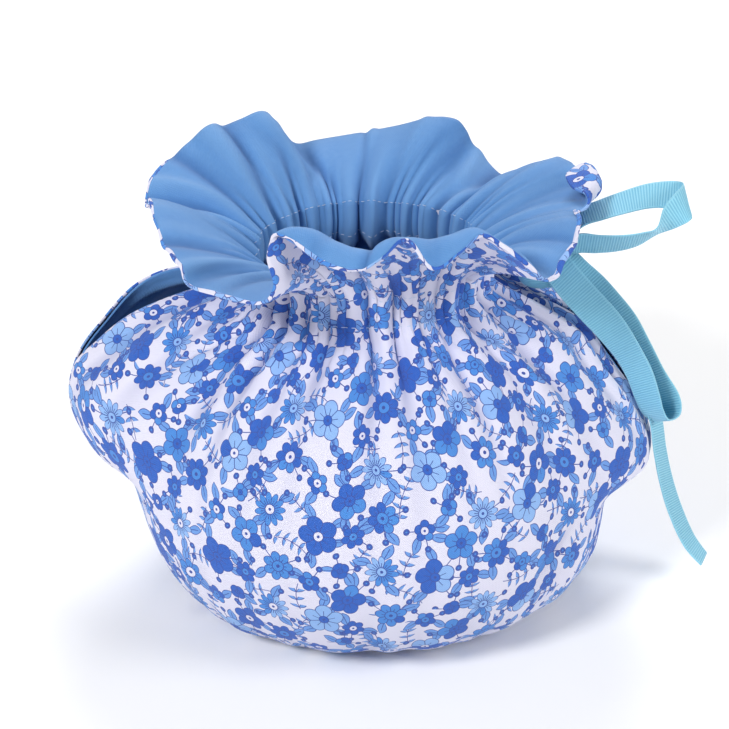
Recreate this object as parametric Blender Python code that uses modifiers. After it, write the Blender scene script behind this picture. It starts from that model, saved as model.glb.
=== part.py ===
"""A gathered tea cosy of two printed cotton panels with plain linings and a ribbon tied at one side.

The cloth is worked out in millimetres round the neck's axis, with azimuth 0 on the right,
90 at the back, 180 on the left and 270 at the front.
"""

import math

import bmesh
import bpy
import numpy as np

MM = 0.001
TURN = 2.0 * math.pi

OUTER_COLOUR = (0.55, 0.62, 0.86)
LINING_COLOUR = (0.16, 0.33, 0.78)
RIBBON_COLOUR = (0.22, 0.58, 0.80)
CLOTH_ROUGHNESS = 0.85

OUTER_THICK = 1.2
LINING_THICK = 1.0
CLOTH_GAP = 0.35
SEAM_HALF_GAP = 0.2

NECK_RADIUS = 43.4
NECK_HEIGHT = 135.0
NECK_X = -9.4
LEFT_AZIMUTH = 180.0
RIGHT_AZIMUTH = 0.0
LEFT_REACH = 44.0
RIGHT_REACH = 44.0

# The right slit lies towards the back, and the back panel's edge stands up along the left slit.
RIGHT_SLIT_SET_BACK = 0.3
LIP_LEVEL = 10.7
LIP_LEVEL_REACH = 2.0
LIP_SHARE = 0.03
LIP_BACK = 4.0
LIP_RISE = 4.5

# A row is a level of the cloth, from the hem up to the casing's upper stitch line: radius and height
# of the round body, of the bulge on the left and of the bulge on the right, then the depth of the
# gathers and half the opening between the panels on the left and on the right.
LEVELS = (
    ("hem_edge", 50.0, 0.0, 50.0, 0.0, 50.0, 0.0, 0.0, 0.0, 0.0),
    ("foot", 63.0, 0.0, 63.0, 0.0, 63.0, 0.0, 0.0, 0.0, 0.0),
    ("turn", 74.0, 5.5, 74.0, 6.5, 75.0, 5.5, 0.5, 0.0, 0.0),
    ("low", 84.0, 19.0, 84.0, 23.0, 84.5, 19.0, 0.4, 0.0, 0.0),
    ("belly_low", 89.5, 35.0, 89.0, 39.0, 89.0, 33.0, 0.2, 0.0, 0.0),
    ("belly", 90.5, 51.0, 95.5, 49.5, 97.0, 42.0, 0.2, 0.0, 0.0),
    ("belly_high", 88.0, 67.0, 107.5, 59.5, 106.5, 50.0, 0.3, 0.0, 0.0),
    ("shoulder_low", 82.5, 82.0, 113.0, 72.0, 106.0, 61.5, 0.6, 0.0, 0.0),
    ("shoulder", 74.0, 95.5, 111.5, 86.0, 99.0, 76.5, 1.1, 3.0, 4.0),
    ("shoulder_mid", 64.5, 105.5, 103.0, 99.0, 89.5, 90.5, 1.5, 9.0, 7.0),
    ("shoulder_high", 55.0, 112.3, 90.0, 110.5, 79.5, 104.0, 1.8, 9.5, 3.0),
    ("under_casing", 47.5, 117.0, 70.0, 118.0, 63.0, 113.5, 2.0, 6.5, 0.0),
    ("casing_low", 43.5, 122.5, 46.0, 122.0, 45.5, 122.0, 2.0, 0.0, 0.0),
    ("casing_mid", 42.5, 128.5, 43.0, 128.5, 43.0, 128.5, 2.0, 0.0, 0.0),
    ("casing_top", 43.4, 135.0, 43.4, 135.0, 43.4, 135.0, 2.0, 0.0, 0.0),
)
TOP_LEVEL = len(LEVELS) - 1
LEVEL_NUMBERS = np.array([row[1:] for row in LEVELS])
ROUND_COLUMNS = (0, 1)
LEFT_COLUMNS = (2, 3)
RIGHT_COLUMNS = (4, 5)
GATHER_COLUMN = 6
LEFT_SLIT_COLUMN = 7
RIGHT_SLIT_COLUMN = 8

# A row is a crest, a hollow or a flank of the frill's edge: azimuth, lift above level, width from the
# casing to its edge or to the fold where it turns over, and the cloth past that fold: above zero it
# lies folded in over the lining, and below zero it curls out and down.
BACK_FRILL = (
    ("right_seam", -10.0, 31.0, 37.0, 0.0),
    ("flap_foot", -5.0, 28.0, 37.5, 4.0),
    ("flap_low", 0.5, 25.5, 38.0, 12.0),
    ("flap_corner", 5.5, 24.5, 42.0, 18.0),
    ("flap", 9.5, 24.5, 43.0, 17.5),
    ("flap_top", 13.5, 25.0, 43.0, 12.0),
    ("flap_end", 17.5, 25.5, 43.5, 3.0),
    ("lobe", 21.5, 26.5, 45.0, 0.0),
    ("lobe_crest", 28.0, 25.0, 45.0, 0.0),
    ("slope", 37.0, 18.0, 45.0, 0.0),
    ("valley_start", 43.0, 10.0, 45.0, 0.0),
    ("valley", 49.0, 4.0, 45.0, 0.0),
    ("valley_end", 56.0, 5.0, 45.0, 0.0),
    ("rise", 61.0, 12.0, 45.0, 0.0),
    ("rise_top", 62.5, 24.0, 45.0, 0.0),
    ("crest_right", 65.0, 32.0, 45.0, 0.0),
    ("after_crest", 72.0, 30.0, 45.0, 0.0),
    ("pressed", 82.0, 22.0, 45.0, 0.0),
    ("saddle", 93.0, 16.5, 45.0, 0.0),
    ("hollow", 104.0, 13.5, 45.0, 0.0),
    ("hollow_end", 109.5, 13.0, 45.0, 0.0),
    ("steep", 113.5, 20.0, 45.0, 0.0),
    ("steep_top", 117.5, 31.0, 45.0, 0.0),
    ("crest_left", 124.0, 39.0, 45.0, 0.0),
    ("ridge", 134.0, 39.0, 45.0, 0.0),
    ("ridge_end", 143.0, 41.0, 45.0, 0.0),
    ("step_down", 150.0, 36.0, 45.0, 0.0),
    ("left_lobe", 158.0, 34.0, 45.0, 0.0),
    ("left_tip", 166.0, 28.5, 45.0, 0.0),
    ("tuck", 174.0, 25.0, 44.0, 0.0),
    ("left_seam", 182.0, 27.0, 42.0, 0.0),
)
FRONT_FRILL = (
    ("left_seam", 182.0, 27.0, 42.0, 0.0),
    ("notch_end", 188.0, 32.0, 44.0, 0.0),
    ("side_lobe", 196.0, 32.0, 45.0, 0.0),
    ("side_lobe_end", 206.0, 30.0, 45.0, 0.0),
    ("fall", 213.5, 27.0, 45.0, 0.0),
    ("fall_end", 219.0, 20.0, 45.0, 0.0),
    ("low_lobe", 224.0, 15.0, 45.0, 0.0),
    ("low_mid", 234.0, 16.0, 45.0, 0.0),
    ("low_end", 245.0, 17.0, 45.0, 0.0),
    ("cliff", 248.0, 25.0, 45.0, 0.0),
    ("cliff_top", 245.5, 39.0, 42.0, -4.0),
    ("crest_left", 246.5, 51.0, 39.5, -7.0),
    ("wave_one", 252.5, 56.0, 38.0, -11.0),
    ("dip_one", 262.0, 50.0, 38.0, -13.0),
    ("dip_two", 269.0, 47.0, 38.0, -12.0),
    ("rise_two", 275.6, 52.5, 38.0, -11.5),
    ("point", 280.2, 52.5, 38.5, -5.0),
    ("hang", 286.6, 51.0, 38.0, -16.0),
    ("rise_three", 293.0, 51.5, 38.0, -12.5),
    ("crest_right", 300.4, 52.0, 38.5, -8.0),
    ("crest_end", 304.5, 43.0, 40.0, -7.0),
    ("slide", 308.5, 33.0, 42.0, -8.0),
    ("slide_end", 311.5, 24.0, 43.0, -5.0),
    ("right_low", 315.5, 18.0, 45.0, 0.0),
    ("right_rise", 321.0, 22.0, 45.0, 0.0),
    ("right_lobe", 327.0, 27.0, 45.0, 0.0),
    ("right_tip", 334.0, 33.0, 45.0, 0.0),
    ("tip_end", 342.0, 33.0, 40.5, 0.0),
    ("right_seam", 350.0, 31.0, 37.0, 0.0),
)

# A row is a fold of the body: from an azimuth and level to another, its height out of the cloth
# (below zero for a trough) and its half-width.
FOLDS = (
    ("drag_left_long", 246.0, 12.0, 205.0, 7.5, 1.7, 7.0),
    ("drag_left_short", 238.0, 12.0, 216.0, 9.0, -1.5, 6.0),
    ("drag_left_high", 228.0, 12.0, 196.0, 9.5, 1.7, 6.0),
    ("front_left", 252.0, 12.0, 243.0, 7.0, -1.6, 6.0),
    ("front_mid_left", 262.0, 12.0, 259.0, 7.5, 1.5, 6.0),
    ("front_mid", 273.0, 12.0, 275.0, 8.0, -1.4, 6.0),
    ("front_mid_right", 285.0, 12.0, 291.0, 7.5, 1.4, 6.0),
    ("front_right", 294.0, 12.0, 305.0, 7.0, -1.7, 6.0),
    ("drag_right_long", 302.0, 12.0, 325.0, 7.0, 1.7, 7.0),
    ("drag_right_short", 313.0, 12.0, 338.0, 8.0, -1.5, 6.0),
    ("drag_right_high", 326.0, 12.0, 346.0, 8.5, 1.6, 6.0),
    ("left_tuck", 180.0, 4.4, 214.0, 5.4, -2.0, 9.0),
    ("right_tuck", 360.0, 4.2, 328.0, 5.2, -2.2, 9.0),
    ("hem_crease", 256.0, 2.5, 288.0, 2.5, -1.0, 8.0),
    ("low_right_crease", 324.0, 4.6, 303.0, 2.8, -1.3, 8.0),
    ("low_left_crease", 226.0, 3.4, 238.0, 2.2, 1.0, 8.0),
    ("back_left_long", 118.0, 12.0, 146.0, 7.5, 1.6, 7.0),
    ("back_left_high", 132.0, 12.0, 160.0, 9.0, -1.5, 6.0),
    ("back_mid_left", 100.0, 12.0, 104.0, 7.5, -1.5, 6.0),
    ("back_mid_right", 82.0, 12.0, 77.0, 7.5, 1.5, 6.0),
    ("back_right_long", 62.0, 12.0, 38.0, 7.5, -1.6, 7.0),
    ("back_right_high", 50.0, 12.0, 22.0, 9.0, 1.5, 6.0),
    ("back_left_tuck", 180.0, 4.4, 148.0, 5.4, -2.0, 9.0),
    ("back_right_tuck", 0.0, 4.2, 32.0, 5.2, -2.0, 9.0),
    ("back_hem_crease", 74.0, 2.5, 102.0, 2.5, -1.0, 8.0),
)
FOLD_MM_PER_DEGREE = 1.35
FOLD_MM_PER_LEVEL = 13.0

# A row is a place where the body stands out of its round, or is drawn in: azimuth, reach in degrees,
# level, reach in levels, and millimetres outwards.
SAGS = (
    ("low_right_full", 340.0, 70.0, 2.8, 2.3, 3.6),
    ("hem_drawn_in", 285.0, 85.0, 1.0, 1.9, -6.5),
    ("low_back_full", 60.0, 60.0, 3.0, 2.5, 1.5),
)

GATHERS_PER_PANEL = 14
GATHER_DEPTH = 0.72
GATHER_UNEVEN = 0.28
GATHER_DRIFT_WIDE = 0.016
GATHER_DRIFT_FINE = 0.008
GATHER_SEAM_SHARE = 0.03
COLUMNS = 45
FLAT_ROWS = 2
FRILL_STEPS = (0.22, 0.48, 0.7, 0.78, 0.85, 0.92, 1.0)
FRILL_EDGE_SAMPLES = 600
FRILL_FLARE = 20.0
FRILL_FLARE_SHARE = 0.42
FRILL_LEAN_SHARE = 0.3
FLAP_RADIUS = 2.8
FLAP_TURN = 172.0
CURL_RADIUS = 7.0
CURL_TURN = 125.0
GATHER_FADE = 1.4
SEAM_REACH = 4.0

RIBBON_WIDTH = 12.0
RIBBON_THICK = 1.0
RIBBON_STEPS = 2

# A row is a point on the middle of the ribbon and the direction of its width there, from its lower
# edge to its upper one.
OUT_LOOP = (
    (61.0, 0.0, 129.0, 0.20, 0.90, 0.30),
    (68.6, -1.0, 129.0, 0.19, 0.97, 0.14),
    (72.4, 4.0, 137.2, 0.06, 0.99, 0.10),
    (77.4, 6.0, 143.6, -0.06, 0.98, 0.17),
    (84.8, 7.0, 146.3, -0.09, 0.97, 0.22),
    (92.0, 7.5, 148.7, -0.06, 0.95, 0.30),
    (101.1, 7.5, 151.5, 0.03, 0.90, 0.43),
    (108.3, 7.0, 152.5, 0.16, 0.83, 0.54),
    (113.5, 5.0, 152.7, 0.03, 0.77, 0.64),
    (115.4, 1.0, 152.5, -0.25, 0.45, 0.86),
    (113.0, -3.5, 151.8, -0.45, 0.10, 0.89),
    (108.8, -6.0, 148.9, -0.52, -0.35, 0.78),
    (104.0, -7.0, 143.9, -0.16, -0.82, 0.56),
    (98.1, -7.0, 140.7, 0.00, -0.70, 0.71),
    (91.0, -6.5, 138.9, 0.00, -0.63, 0.78),
    (83.0, -6.0, 138.3, 0.00, -0.57, 0.82),
    (75.9, -5.0, 138.1, 0.00, -0.51, 0.86),
    (69.7, -3.0, 133.8, 0.00, -0.47, 0.88),
    (67.4, -2.0, 128.6, 0.00, -0.47, 0.88),
    (60.0, -1.0, 127.5, 0.00, -0.47, 0.88),
)
HANGING_LOOP = (
    (60.0, -2.0, 130.0, 0.70, 0.50, 0.50),
    (65.8, -3.0, 131.4, 0.70, 0.47, 0.54),
    (69.7, -8.0, 128.1, 0.71, 0.40, 0.58),
    (75.6, -12.0, 122.0, 0.75, 0.30, 0.59),
    (81.9, -14.5, 115.8, 0.78, 0.10, 0.62),
    (87.8, -15.5, 109.3, 0.76, -0.13, 0.64),
    (94.4, -16.0, 100.2, 0.66, -0.43, 0.61),
    (99.8, -16.0, 90.6, 0.66, -0.51, 0.54),
    (103.5, -16.0, 80.9, 0.63, -0.58, 0.51),
    (106.3, -15.5, 73.9, 0.51, -0.70, 0.50),
    (110.1, -13.5, 69.1, 0.38, -0.79, 0.48),
    (113.6, -11.0, 70.6, 0.51, -0.74, 0.45),
    (112.1, -10.0, 76.9, 0.63, -0.58, 0.51),
    (105.4, -9.5, 86.8, 0.70, -0.43, 0.57),
    (99.5, -9.5, 97.3, 0.73, -0.27, 0.63),
    (93.3, -9.0, 107.8, 0.76, -0.08, 0.65),
    (85.6, -7.5, 116.9, 0.73, 0.05, 0.68),
    (77.3, -4.5, 124.9, 0.70, 0.54, 0.47),
    (70.0, -1.5, 130.8, 0.63, 0.68, 0.36),
    (61.0, 0.5, 130.5, 0.50, 0.80, 0.36),
)
LONG_TAIL = (
    (60.0, 0.5, 128.0, 0.30, 0.92, 0.20),
    (67.5, -1.0, 129.0, 0.38, 0.91, 0.18),
    (75.8, -3.5, 120.4, 0.47, 0.88, 0.09),
    (85.5, -5.0, 110.4, 0.51, 0.86, -0.01),
    (95.5, -5.5, 97.0, 0.51, 0.85, -0.12),
    (103.7, -6.0, 81.2, 0.51, 0.84, -0.21),
    (108.7, -8.0, 67.2, 0.51, 0.82, -0.27),
    (110.9, -11.0, 54.9, 0.52, 0.80, -0.30),
    (114.0, -12.0, 42.2, 0.54, 0.80, -0.27),
    (118.3, -13.5, 29.6, 0.54, 0.82, -0.20),
    (124.3, -15.0, 16.9, 0.47, 0.87, -0.12),
    (130.7, -16.0, 8.7, 0.35, 0.93, -0.12),
)
STEM_LOWER = (
    (47.9, 3.5, 131.0, 0.00, 1.00, 0.15),
    (54.0, 2.5, 131.0, 0.00, 1.00, 0.15),
    (60.0, 0.0, 130.5, 0.00, 1.00, 0.20),
)
STEM_UPPER = (
    (48.2, 4.5, 133.4, 0.00, 1.00, 0.05),
    (54.0, 3.0, 133.4, 0.00, 1.00, 0.05),
    (60.0, 0.5, 132.0, 0.00, 1.00, 0.10),
)
RIBBON_RUNS = (
    ("out_loop", OUT_LOOP),
    ("hanging_loop", HANGING_LOOP),
    ("long_tail", LONG_TAIL),
    ("stem_lower", STEM_LOWER),
    ("stem_upper", STEM_UPPER),
)
KNOT_CENTRE = (62.5, -2.0, 128.0)
KNOT_SIZE = (8.5, 7.5, 8.5)
KNOT_SEGMENTS = 12


def catmull_rom(values, place):
    """Values read at fractional row numbers along a smooth curve through the rows."""
    last = len(values) - 1
    place = np.clip(place, 0, last)
    row = np.minimum(np.floor(place).astype(int), last - 1)
    part = place - row
    before = values[np.clip(row - 1, 0, last)]
    start = values[row]
    end = values[row + 1]
    after = values[np.clip(row + 2, 0, last)]
    bend = 2 * before - 5 * start + 4 * end - after
    swing = -before + 3 * start - 3 * end + after
    return start + 0.5 * part * ((end - before) + part * (bend + part * swing))


def unit(vectors):
    length = np.linalg.norm(vectors, axis=-1, keepdims=True)
    return vectors / np.maximum(length, 1e-9)


def hump(distance):
    """One at the middle, falling smoothly to zero at a distance of one."""
    return 0.5 + 0.5 * np.cos(math.pi * np.clip(np.abs(distance), 0, 1))


def around(azimuth, centre):
    """Degrees from the centre, from -180 to 180."""
    return (azimuth - centre + 180.0) % 360.0 - 180.0


def polar(azimuth, radius, height):
    angle = np.radians(azimuth)
    return np.stack([radius * np.cos(angle), radius * np.sin(angle), height + 0 * angle], -1)


def level_value(column, level):
    return catmull_rom(LEVEL_NUMBERS[:, column], level)


def body_point(azimuth, level):
    """The smooth body between its hem and its casing, with the two bulges."""
    over_left = hump(around(azimuth, LEFT_AZIMUTH) / LEFT_REACH)
    over_right = hump(around(azimuth, RIGHT_AZIMUTH) / RIGHT_REACH)
    sizes = []
    for number in range(2):
        plain = level_value(ROUND_COLUMNS[number], level)
        left = level_value(LEFT_COLUMNS[number], level)
        right = level_value(RIGHT_COLUMNS[number], level)
        sizes.append(plain + over_left * (left - plain) + over_right * (right - plain))
    radius, height = sizes
    for _, centre, reach, from_level, level_reach, outwards in SAGS:
        nearness = hump(around(azimuth, centre) / reach)
        radius = radius + outwards * nearness * hump((level - from_level) / level_reach)
    return polar(azimuth, radius, np.maximum(height, 0.0))


def gather_wave(share):
    """The uneven small pleats of a panel, drawn up by the casing, flat at its two seams."""
    wide = GATHER_DRIFT_WIDE * np.sin(3 * TURN * share + 0.7)
    fine = GATHER_DRIFT_FINE * np.sin(7 * TURN * share + 2.1)
    depth = GATHER_DEPTH + GATHER_UNEVEN * np.sin(4 * TURN * share + 1.3)
    at_seam = np.clip(np.minimum(share, 1 - share) / GATHER_SEAM_SHARE, 0, 1)
    return at_seam * depth * np.sin(GATHERS_PER_PANEL * TURN * (share + wide + fine))


def fold_height(azimuth, level):
    """The sum of the body's named folds at each place."""
    total = 0 * azimuth
    for _, from_azimuth, from_level, to_azimuth, to_level, height, half_width in FOLDS:
        run_x = (to_azimuth - from_azimuth) * FOLD_MM_PER_DEGREE
        run_y = (to_level - from_level) * FOLD_MM_PER_LEVEL
        x = around(azimuth, from_azimuth) * FOLD_MM_PER_DEGREE
        y = (level - from_level) * FOLD_MM_PER_LEVEL
        along = (x * run_x + y * run_y) / (run_x**2 + run_y**2)
        across = (x * run_y - y * run_x) / math.hypot(run_x, run_y)
        total = total + height * np.exp(-((across / half_width) ** 2)) * hump(2 * along - 1)
    return total


def frill_rows(table):
    """The frill's table read at even steps along its cut edge, which is what the gathers share out."""
    numbers = np.array([row[1:] for row in table])
    fine = np.linspace(0, len(table) - 1, FRILL_EDGE_SAMPLES)
    azimuth, lift, width, _ = (catmull_rom(numbers[:, k], fine) for k in range(4))
    lift = np.radians(lift)
    edge = polar(azimuth, NECK_RADIUS + width * np.cos(lift), NECK_HEIGHT + width * np.sin(lift))
    length = np.concatenate([[0], np.cumsum(np.linalg.norm(np.diff(edge, axis=0), axis=1))])
    return numbers, fine, length / length[-1]


def frill_point(table, neck, neck_azimuth, share, step):
    """A point of the frill, from the casing at step 0 to the edge at step 1."""
    numbers, fine, length_share = frill_rows(table)
    place = np.interp(share, length_share, fine)
    azimuth, lift, width, turned = (catmull_rom(numbers[:, k], place) for k in range(4))
    leave = np.radians(lift + FRILL_FLARE)
    lift = np.radians(lift)
    edge = polar(azimuth, NECK_RADIUS + width * np.cos(lift), NECK_HEIGHT + width * np.sin(lift))
    flare = FRILL_FLARE_SHARE * width
    control = polar(
        neck_azimuth + FRILL_LEAN_SHARE * around(azimuth, neck_azimuth),
        NECK_RADIUS + flare * np.cos(leave),
        NECK_HEIGHT + flare * np.sin(leave),
    )
    whole = width + np.abs(turned)
    held = np.minimum(step * whole / width, 1.0)[..., None]
    point = (1 - held) ** 2 * neck + 2 * held * (1 - held) * control + held**2 * edge
    run = unit((1 - held) * (control - neck) + held * (edge - control))
    side = unit(np.cross(run, np.array([0.0, 0.0, 1.0])))
    upward = np.cross(side, run)
    length = np.maximum(step * whole - width, 0.0)
    inwards = turned > 0
    radius = np.where(inwards, FLAP_RADIUS, CURL_RADIUS)
    bent = np.minimum(length / radius, np.radians(np.where(inwards, FLAP_TURN, CURL_TURN)))
    straight = length - radius * bent
    forward = radius * np.sin(bent) + straight * np.cos(bent)
    over = np.sign(turned) * (radius * (1 - np.cos(bent)) + straight * np.sin(bent))
    return point + forward[..., None] * run + over[..., None] * upward


def smooth_panel(panel, share, rows, steps):
    """The panel's smooth cloth as a grid, one row for each body level and each frill step."""
    start = 0.0 if panel == "back" else 180.0
    azimuth = start + 180.0 * share
    grid = []
    for level in rows:
        sides = []
        for side, place, set_back in (
            (RIGHT_SLIT_COLUMN, RIGHT_AZIMUTH, RIGHT_SLIT_SET_BACK),
            (LEFT_SLIT_COLUMN, LEFT_AZIMUTH, 0.0),
        ):
            radius = np.linalg.norm(body_point(np.array(place), level)[:2])
            half_gap = max(level_value(side, level), SEAM_HALF_GAP)
            shift = set_back * (half_gap - SEAM_HALF_GAP)
            half_gap += shift if panel == "back" else -shift
            sides.append(math.degrees(half_gap / radius))
        at_start, at_end = sides if panel == "back" else reversed(sides)
        point = body_point(azimuth + at_start * (1 - share) ** 3 - at_end * share**3, level)
        if panel == "back":
            stands = hump((level - LIP_LEVEL) / LIP_LEVEL_REACH)
            stands = stands * np.clip(1 - (1 - share) / LIP_SHARE, 0, 1)[:, None] ** 2
            point = point + stands * np.array([0.0, LIP_BACK, LIP_RISE])
        grid.append(point)
    neck = grid[-1]
    table = BACK_FRILL if panel == "back" else FRONT_FRILL
    for step in steps:
        point = frill_point(table, neck, azimuth, share, step)
        inward = unit(point[..., 1, :] - point[..., 0, :]), unit(point[..., -2, :] - point[..., -1, :])
        point[..., 0, :] += SEAM_HALF_GAP * inward[0]
        point[..., -1, :] += SEAM_HALF_GAP * inward[1]
        grid.append(point)
    return np.stack(grid)


def grid_normals(grid):
    along = np.gradient(grid, axis=1)
    upward = np.gradient(grid, axis=0)
    return unit(np.cross(along, upward))


def raise_folds(grid, panel, share, rows, steps):
    """The panel's grid with its gathers and its named folds raised out of the cloth."""
    start = 0.0 if panel == "back" else 180.0
    azimuth = start + 180.0 * share
    wave = gather_wave(share)
    height = [level_value(GATHER_COLUMN, level) * wave + fold_height(azimuth, level) for level in rows]
    top = level_value(GATHER_COLUMN, TOP_LEVEL) * wave
    height += [top * (1 - step) ** GATHER_FADE for step in steps]
    height = np.stack(height)
    height[0] = 0.0
    raised = grid + height[..., None] * grid_normals(grid)
    raised[..., 2] = np.maximum(raised[..., 2], 0.0)
    return raised


def seam_normals(panels, normals):
    """Where the two panels are sewn together they share one normal, so that neither enters the other."""
    for front_side, back_side in ((0, -1), (-1, 0)):
        front = normals["front"][:, front_side]
        back = normals["back"][:, back_side]
        apart = np.linalg.norm(panels["front"][:, front_side] - panels["back"][:, back_side], axis=-1)
        sewn = np.exp(-((apart / SEAM_REACH) ** 2))[:, None]
        shared = unit(front + back)
        normals["front"][:, front_side] = unit(sewn * shared + (1 - sewn) * front)
        normals["back"][:, back_side] = unit(sewn * shared + (1 - sewn) * back)


def sheet_triangles(grid):
    """The grid's triangles, each four points split along their shorter diagonal."""
    rows, columns = grid.shape[:2]
    index = np.arange(rows * columns).reshape(rows, columns)
    one = np.linalg.norm(grid[1:, 1:] - grid[:-1, :-1], axis=-1)
    other = np.linalg.norm(grid[1:, :-1] - grid[:-1, 1:], axis=-1)
    triangles = []
    for row in range(rows - 1):
        for column in range(columns - 1):
            a, b = index[row, column], index[row, column + 1]
            c, d = index[row + 1, column + 1], index[row + 1, column]
            if one[row, column] < other[row, column]:
                triangles += [(a, b, c), (a, c, d)]
            else:
                triangles += [(a, b, d), (b, c, d)]
    return triangles


def cloth_solid(name, outside, inside, triangles, colour):
    """One closed sheet between two grids of the same shape, with the same triangles on both."""
    rows, columns = outside.shape[:2]
    count = rows * columns
    index = np.arange(count).reshape(rows, columns)
    faces = []
    for a, b, c in triangles:
        faces.append((a, b, c))
        faces.append((c + count, b + count, a + count))
    rim = list(index[0]) + list(index[1:, -1]) + list(index[-1, -2::-1]) + list(index[-2:0:-1, 0])
    for a, b in zip(rim, rim[1:] + rim[:1]):
        faces.append((a, a + count, b + count, b))
    mesh = bpy.data.meshes.new(name)
    points = np.concatenate([outside.reshape(-1, 3), inside.reshape(-1, 3)]) * MM
    mesh.from_pydata(points.tolist(), [], [tuple(int(k) for k in face) for face in faces])
    mesh.update()
    return add_object(name, mesh, colour)


def plain_material(name, colour):
    material = bpy.data.materials.new(name)
    material.use_nodes = True
    shader = material.node_tree.nodes["Principled BSDF"]
    shader.inputs["Base Color"].default_value = (*colour, 1.0)
    shader.inputs["Roughness"].default_value = CLOTH_ROUGHNESS
    return material


def add_object(name, data, colour):
    made = bpy.data.objects.new(name, data)
    made.data.materials.append(plain_material(name + "_cloth", colour))
    cosy.objects.link(made)
    made.parent = stand
    return made


def build_panels():
    share = np.linspace(0, 1, COLUMNS + 1)
    rows = np.arange(TOP_LEVEL + 1.0)
    panels = {}
    for panel in ("front", "back"):
        grid = smooth_panel(panel, share, rows, FRILL_STEPS)
        panels[panel] = raise_folds(grid, panel, share, rows, FRILL_STEPS)
    normals = {panel: grid_normals(grid) for panel, grid in panels.items()}
    seam_normals(panels, normals)
    for panel, grid in panels.items():
        normal = normals[panel]
        normal[:FLAT_ROWS] = (0.0, 0.0, -1.0)
        triangles = sheet_triangles(grid)
        cloth_solid(
            "outer_" + panel,
            grid + (CLOTH_GAP / 2 + OUTER_THICK) * normal,
            grid + CLOTH_GAP / 2 * normal,
            triangles,
            OUTER_COLOUR,
        )
        cloth_solid(
            "lining_" + panel,
            grid - CLOTH_GAP / 2 * normal,
            grid - (CLOTH_GAP / 2 + LINING_THICK) * normal,
            triangles,
            LINING_COLOUR,
        )


def ribbon_run(name, rows):
    """A flat length of ribbon: a sheet swept along its rows, made solid."""
    numbers = np.array(rows)
    place = np.linspace(0, len(rows) - 1, (len(rows) - 1) * RIBBON_STEPS + 1)
    fine = np.stack([catmull_rom(numbers[:, k], place) for k in range(6)], -1)
    half = RIBBON_WIDTH / 2 * unit(fine[:, 3:])
    points = np.stack([fine[:, :3] - half, fine[:, :3] + half], 1) * MM
    faces = [(2 * k, 2 * k + 1, 2 * k + 3, 2 * k + 2) for k in range(len(fine) - 1)]
    mesh = bpy.data.meshes.new(name)
    mesh.from_pydata(points.reshape(-1, 3).tolist(), [], faces)
    strip = bpy.data.objects.new(name, mesh)
    cutters.objects.link(strip)
    thicken = strip.modifiers.new("thickness", "SOLIDIFY")
    thicken.thickness = RIBBON_THICK * MM
    thicken.offset = 0.0
    strip.hide_render = True
    strip.display_type = "WIRE"
    strip.parent = stand
    return strip


def build_ribbon():
    """The knot, with the loops, the tail and the two ends from the casing joined to it."""
    mesh = bpy.data.meshes.new("ribbon_tie")
    ball = bmesh.new()
    bmesh.ops.create_uvsphere(
        ball, u_segments=KNOT_SEGMENTS, v_segments=KNOT_SEGMENTS // 2, radius=1.0
    )
    bmesh.ops.scale(ball, verts=ball.verts, vec=[size * MM for size in KNOT_SIZE])
    bmesh.ops.translate(ball, verts=ball.verts, vec=[place * MM for place in KNOT_CENTRE])
    ball.to_mesh(mesh)
    ball.free()
    knot = add_object("ribbon_tie", mesh, RIBBON_COLOUR)
    for name, rows in RIBBON_RUNS:
        join = knot.modifiers.new("join_" + name, "BOOLEAN")
        join.operation = "UNION"
        join.solver = "EXACT"
        join.use_self = True
        join.object = ribbon_run(name, rows)


for old in list(bpy.data.objects):
    bpy.data.objects.remove(old)
cosy = bpy.data.collections.new("tea_cosy")
cutters = bpy.data.collections.new("cutters")
bpy.context.scene.collection.children.link(cosy)
bpy.context.scene.collection.children.link(cutters)
stand = bpy.data.objects.new("stand", None)
cosy.objects.link(stand)
stand.location = (NECK_X * MM, 0.0, (CLOTH_GAP / 2 + OUTER_THICK) * MM)
build_panels()
build_ribbon()
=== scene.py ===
"""The looks of a gathered tea cosy: printed cotton, plain lining, stitches and a ribbed ribbon tie.

The cloth is worked out in millimetres round the neck's axis, as in the part's source and on the same
tables, with more columns, finer gathers and a turned edge. Azimuth 0 is the right side, 90 the back,
180 the left side and 270 the front.
"""

import math

import bpy
import numpy as np
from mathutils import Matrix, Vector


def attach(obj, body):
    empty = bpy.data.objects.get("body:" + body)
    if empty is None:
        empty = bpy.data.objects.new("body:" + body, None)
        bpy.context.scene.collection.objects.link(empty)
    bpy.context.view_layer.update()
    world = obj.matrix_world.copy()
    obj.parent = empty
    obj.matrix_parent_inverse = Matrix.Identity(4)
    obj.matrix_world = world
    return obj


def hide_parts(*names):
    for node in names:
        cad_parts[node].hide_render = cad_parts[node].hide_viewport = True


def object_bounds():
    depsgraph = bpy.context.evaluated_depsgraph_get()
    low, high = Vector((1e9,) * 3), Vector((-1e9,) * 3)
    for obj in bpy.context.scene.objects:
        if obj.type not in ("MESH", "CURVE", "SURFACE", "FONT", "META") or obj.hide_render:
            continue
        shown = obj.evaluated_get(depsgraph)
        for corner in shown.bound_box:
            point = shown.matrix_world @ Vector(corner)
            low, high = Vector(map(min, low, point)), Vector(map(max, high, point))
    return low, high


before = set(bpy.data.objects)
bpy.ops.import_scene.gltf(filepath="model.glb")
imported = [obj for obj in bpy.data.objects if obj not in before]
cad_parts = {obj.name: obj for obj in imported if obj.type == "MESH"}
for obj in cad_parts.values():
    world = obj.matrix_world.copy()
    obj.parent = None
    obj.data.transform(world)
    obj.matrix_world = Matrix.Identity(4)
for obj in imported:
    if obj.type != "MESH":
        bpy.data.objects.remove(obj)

cad_low, cad_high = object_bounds()

MM = 0.001
TURN = 2.0 * math.pi

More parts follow.
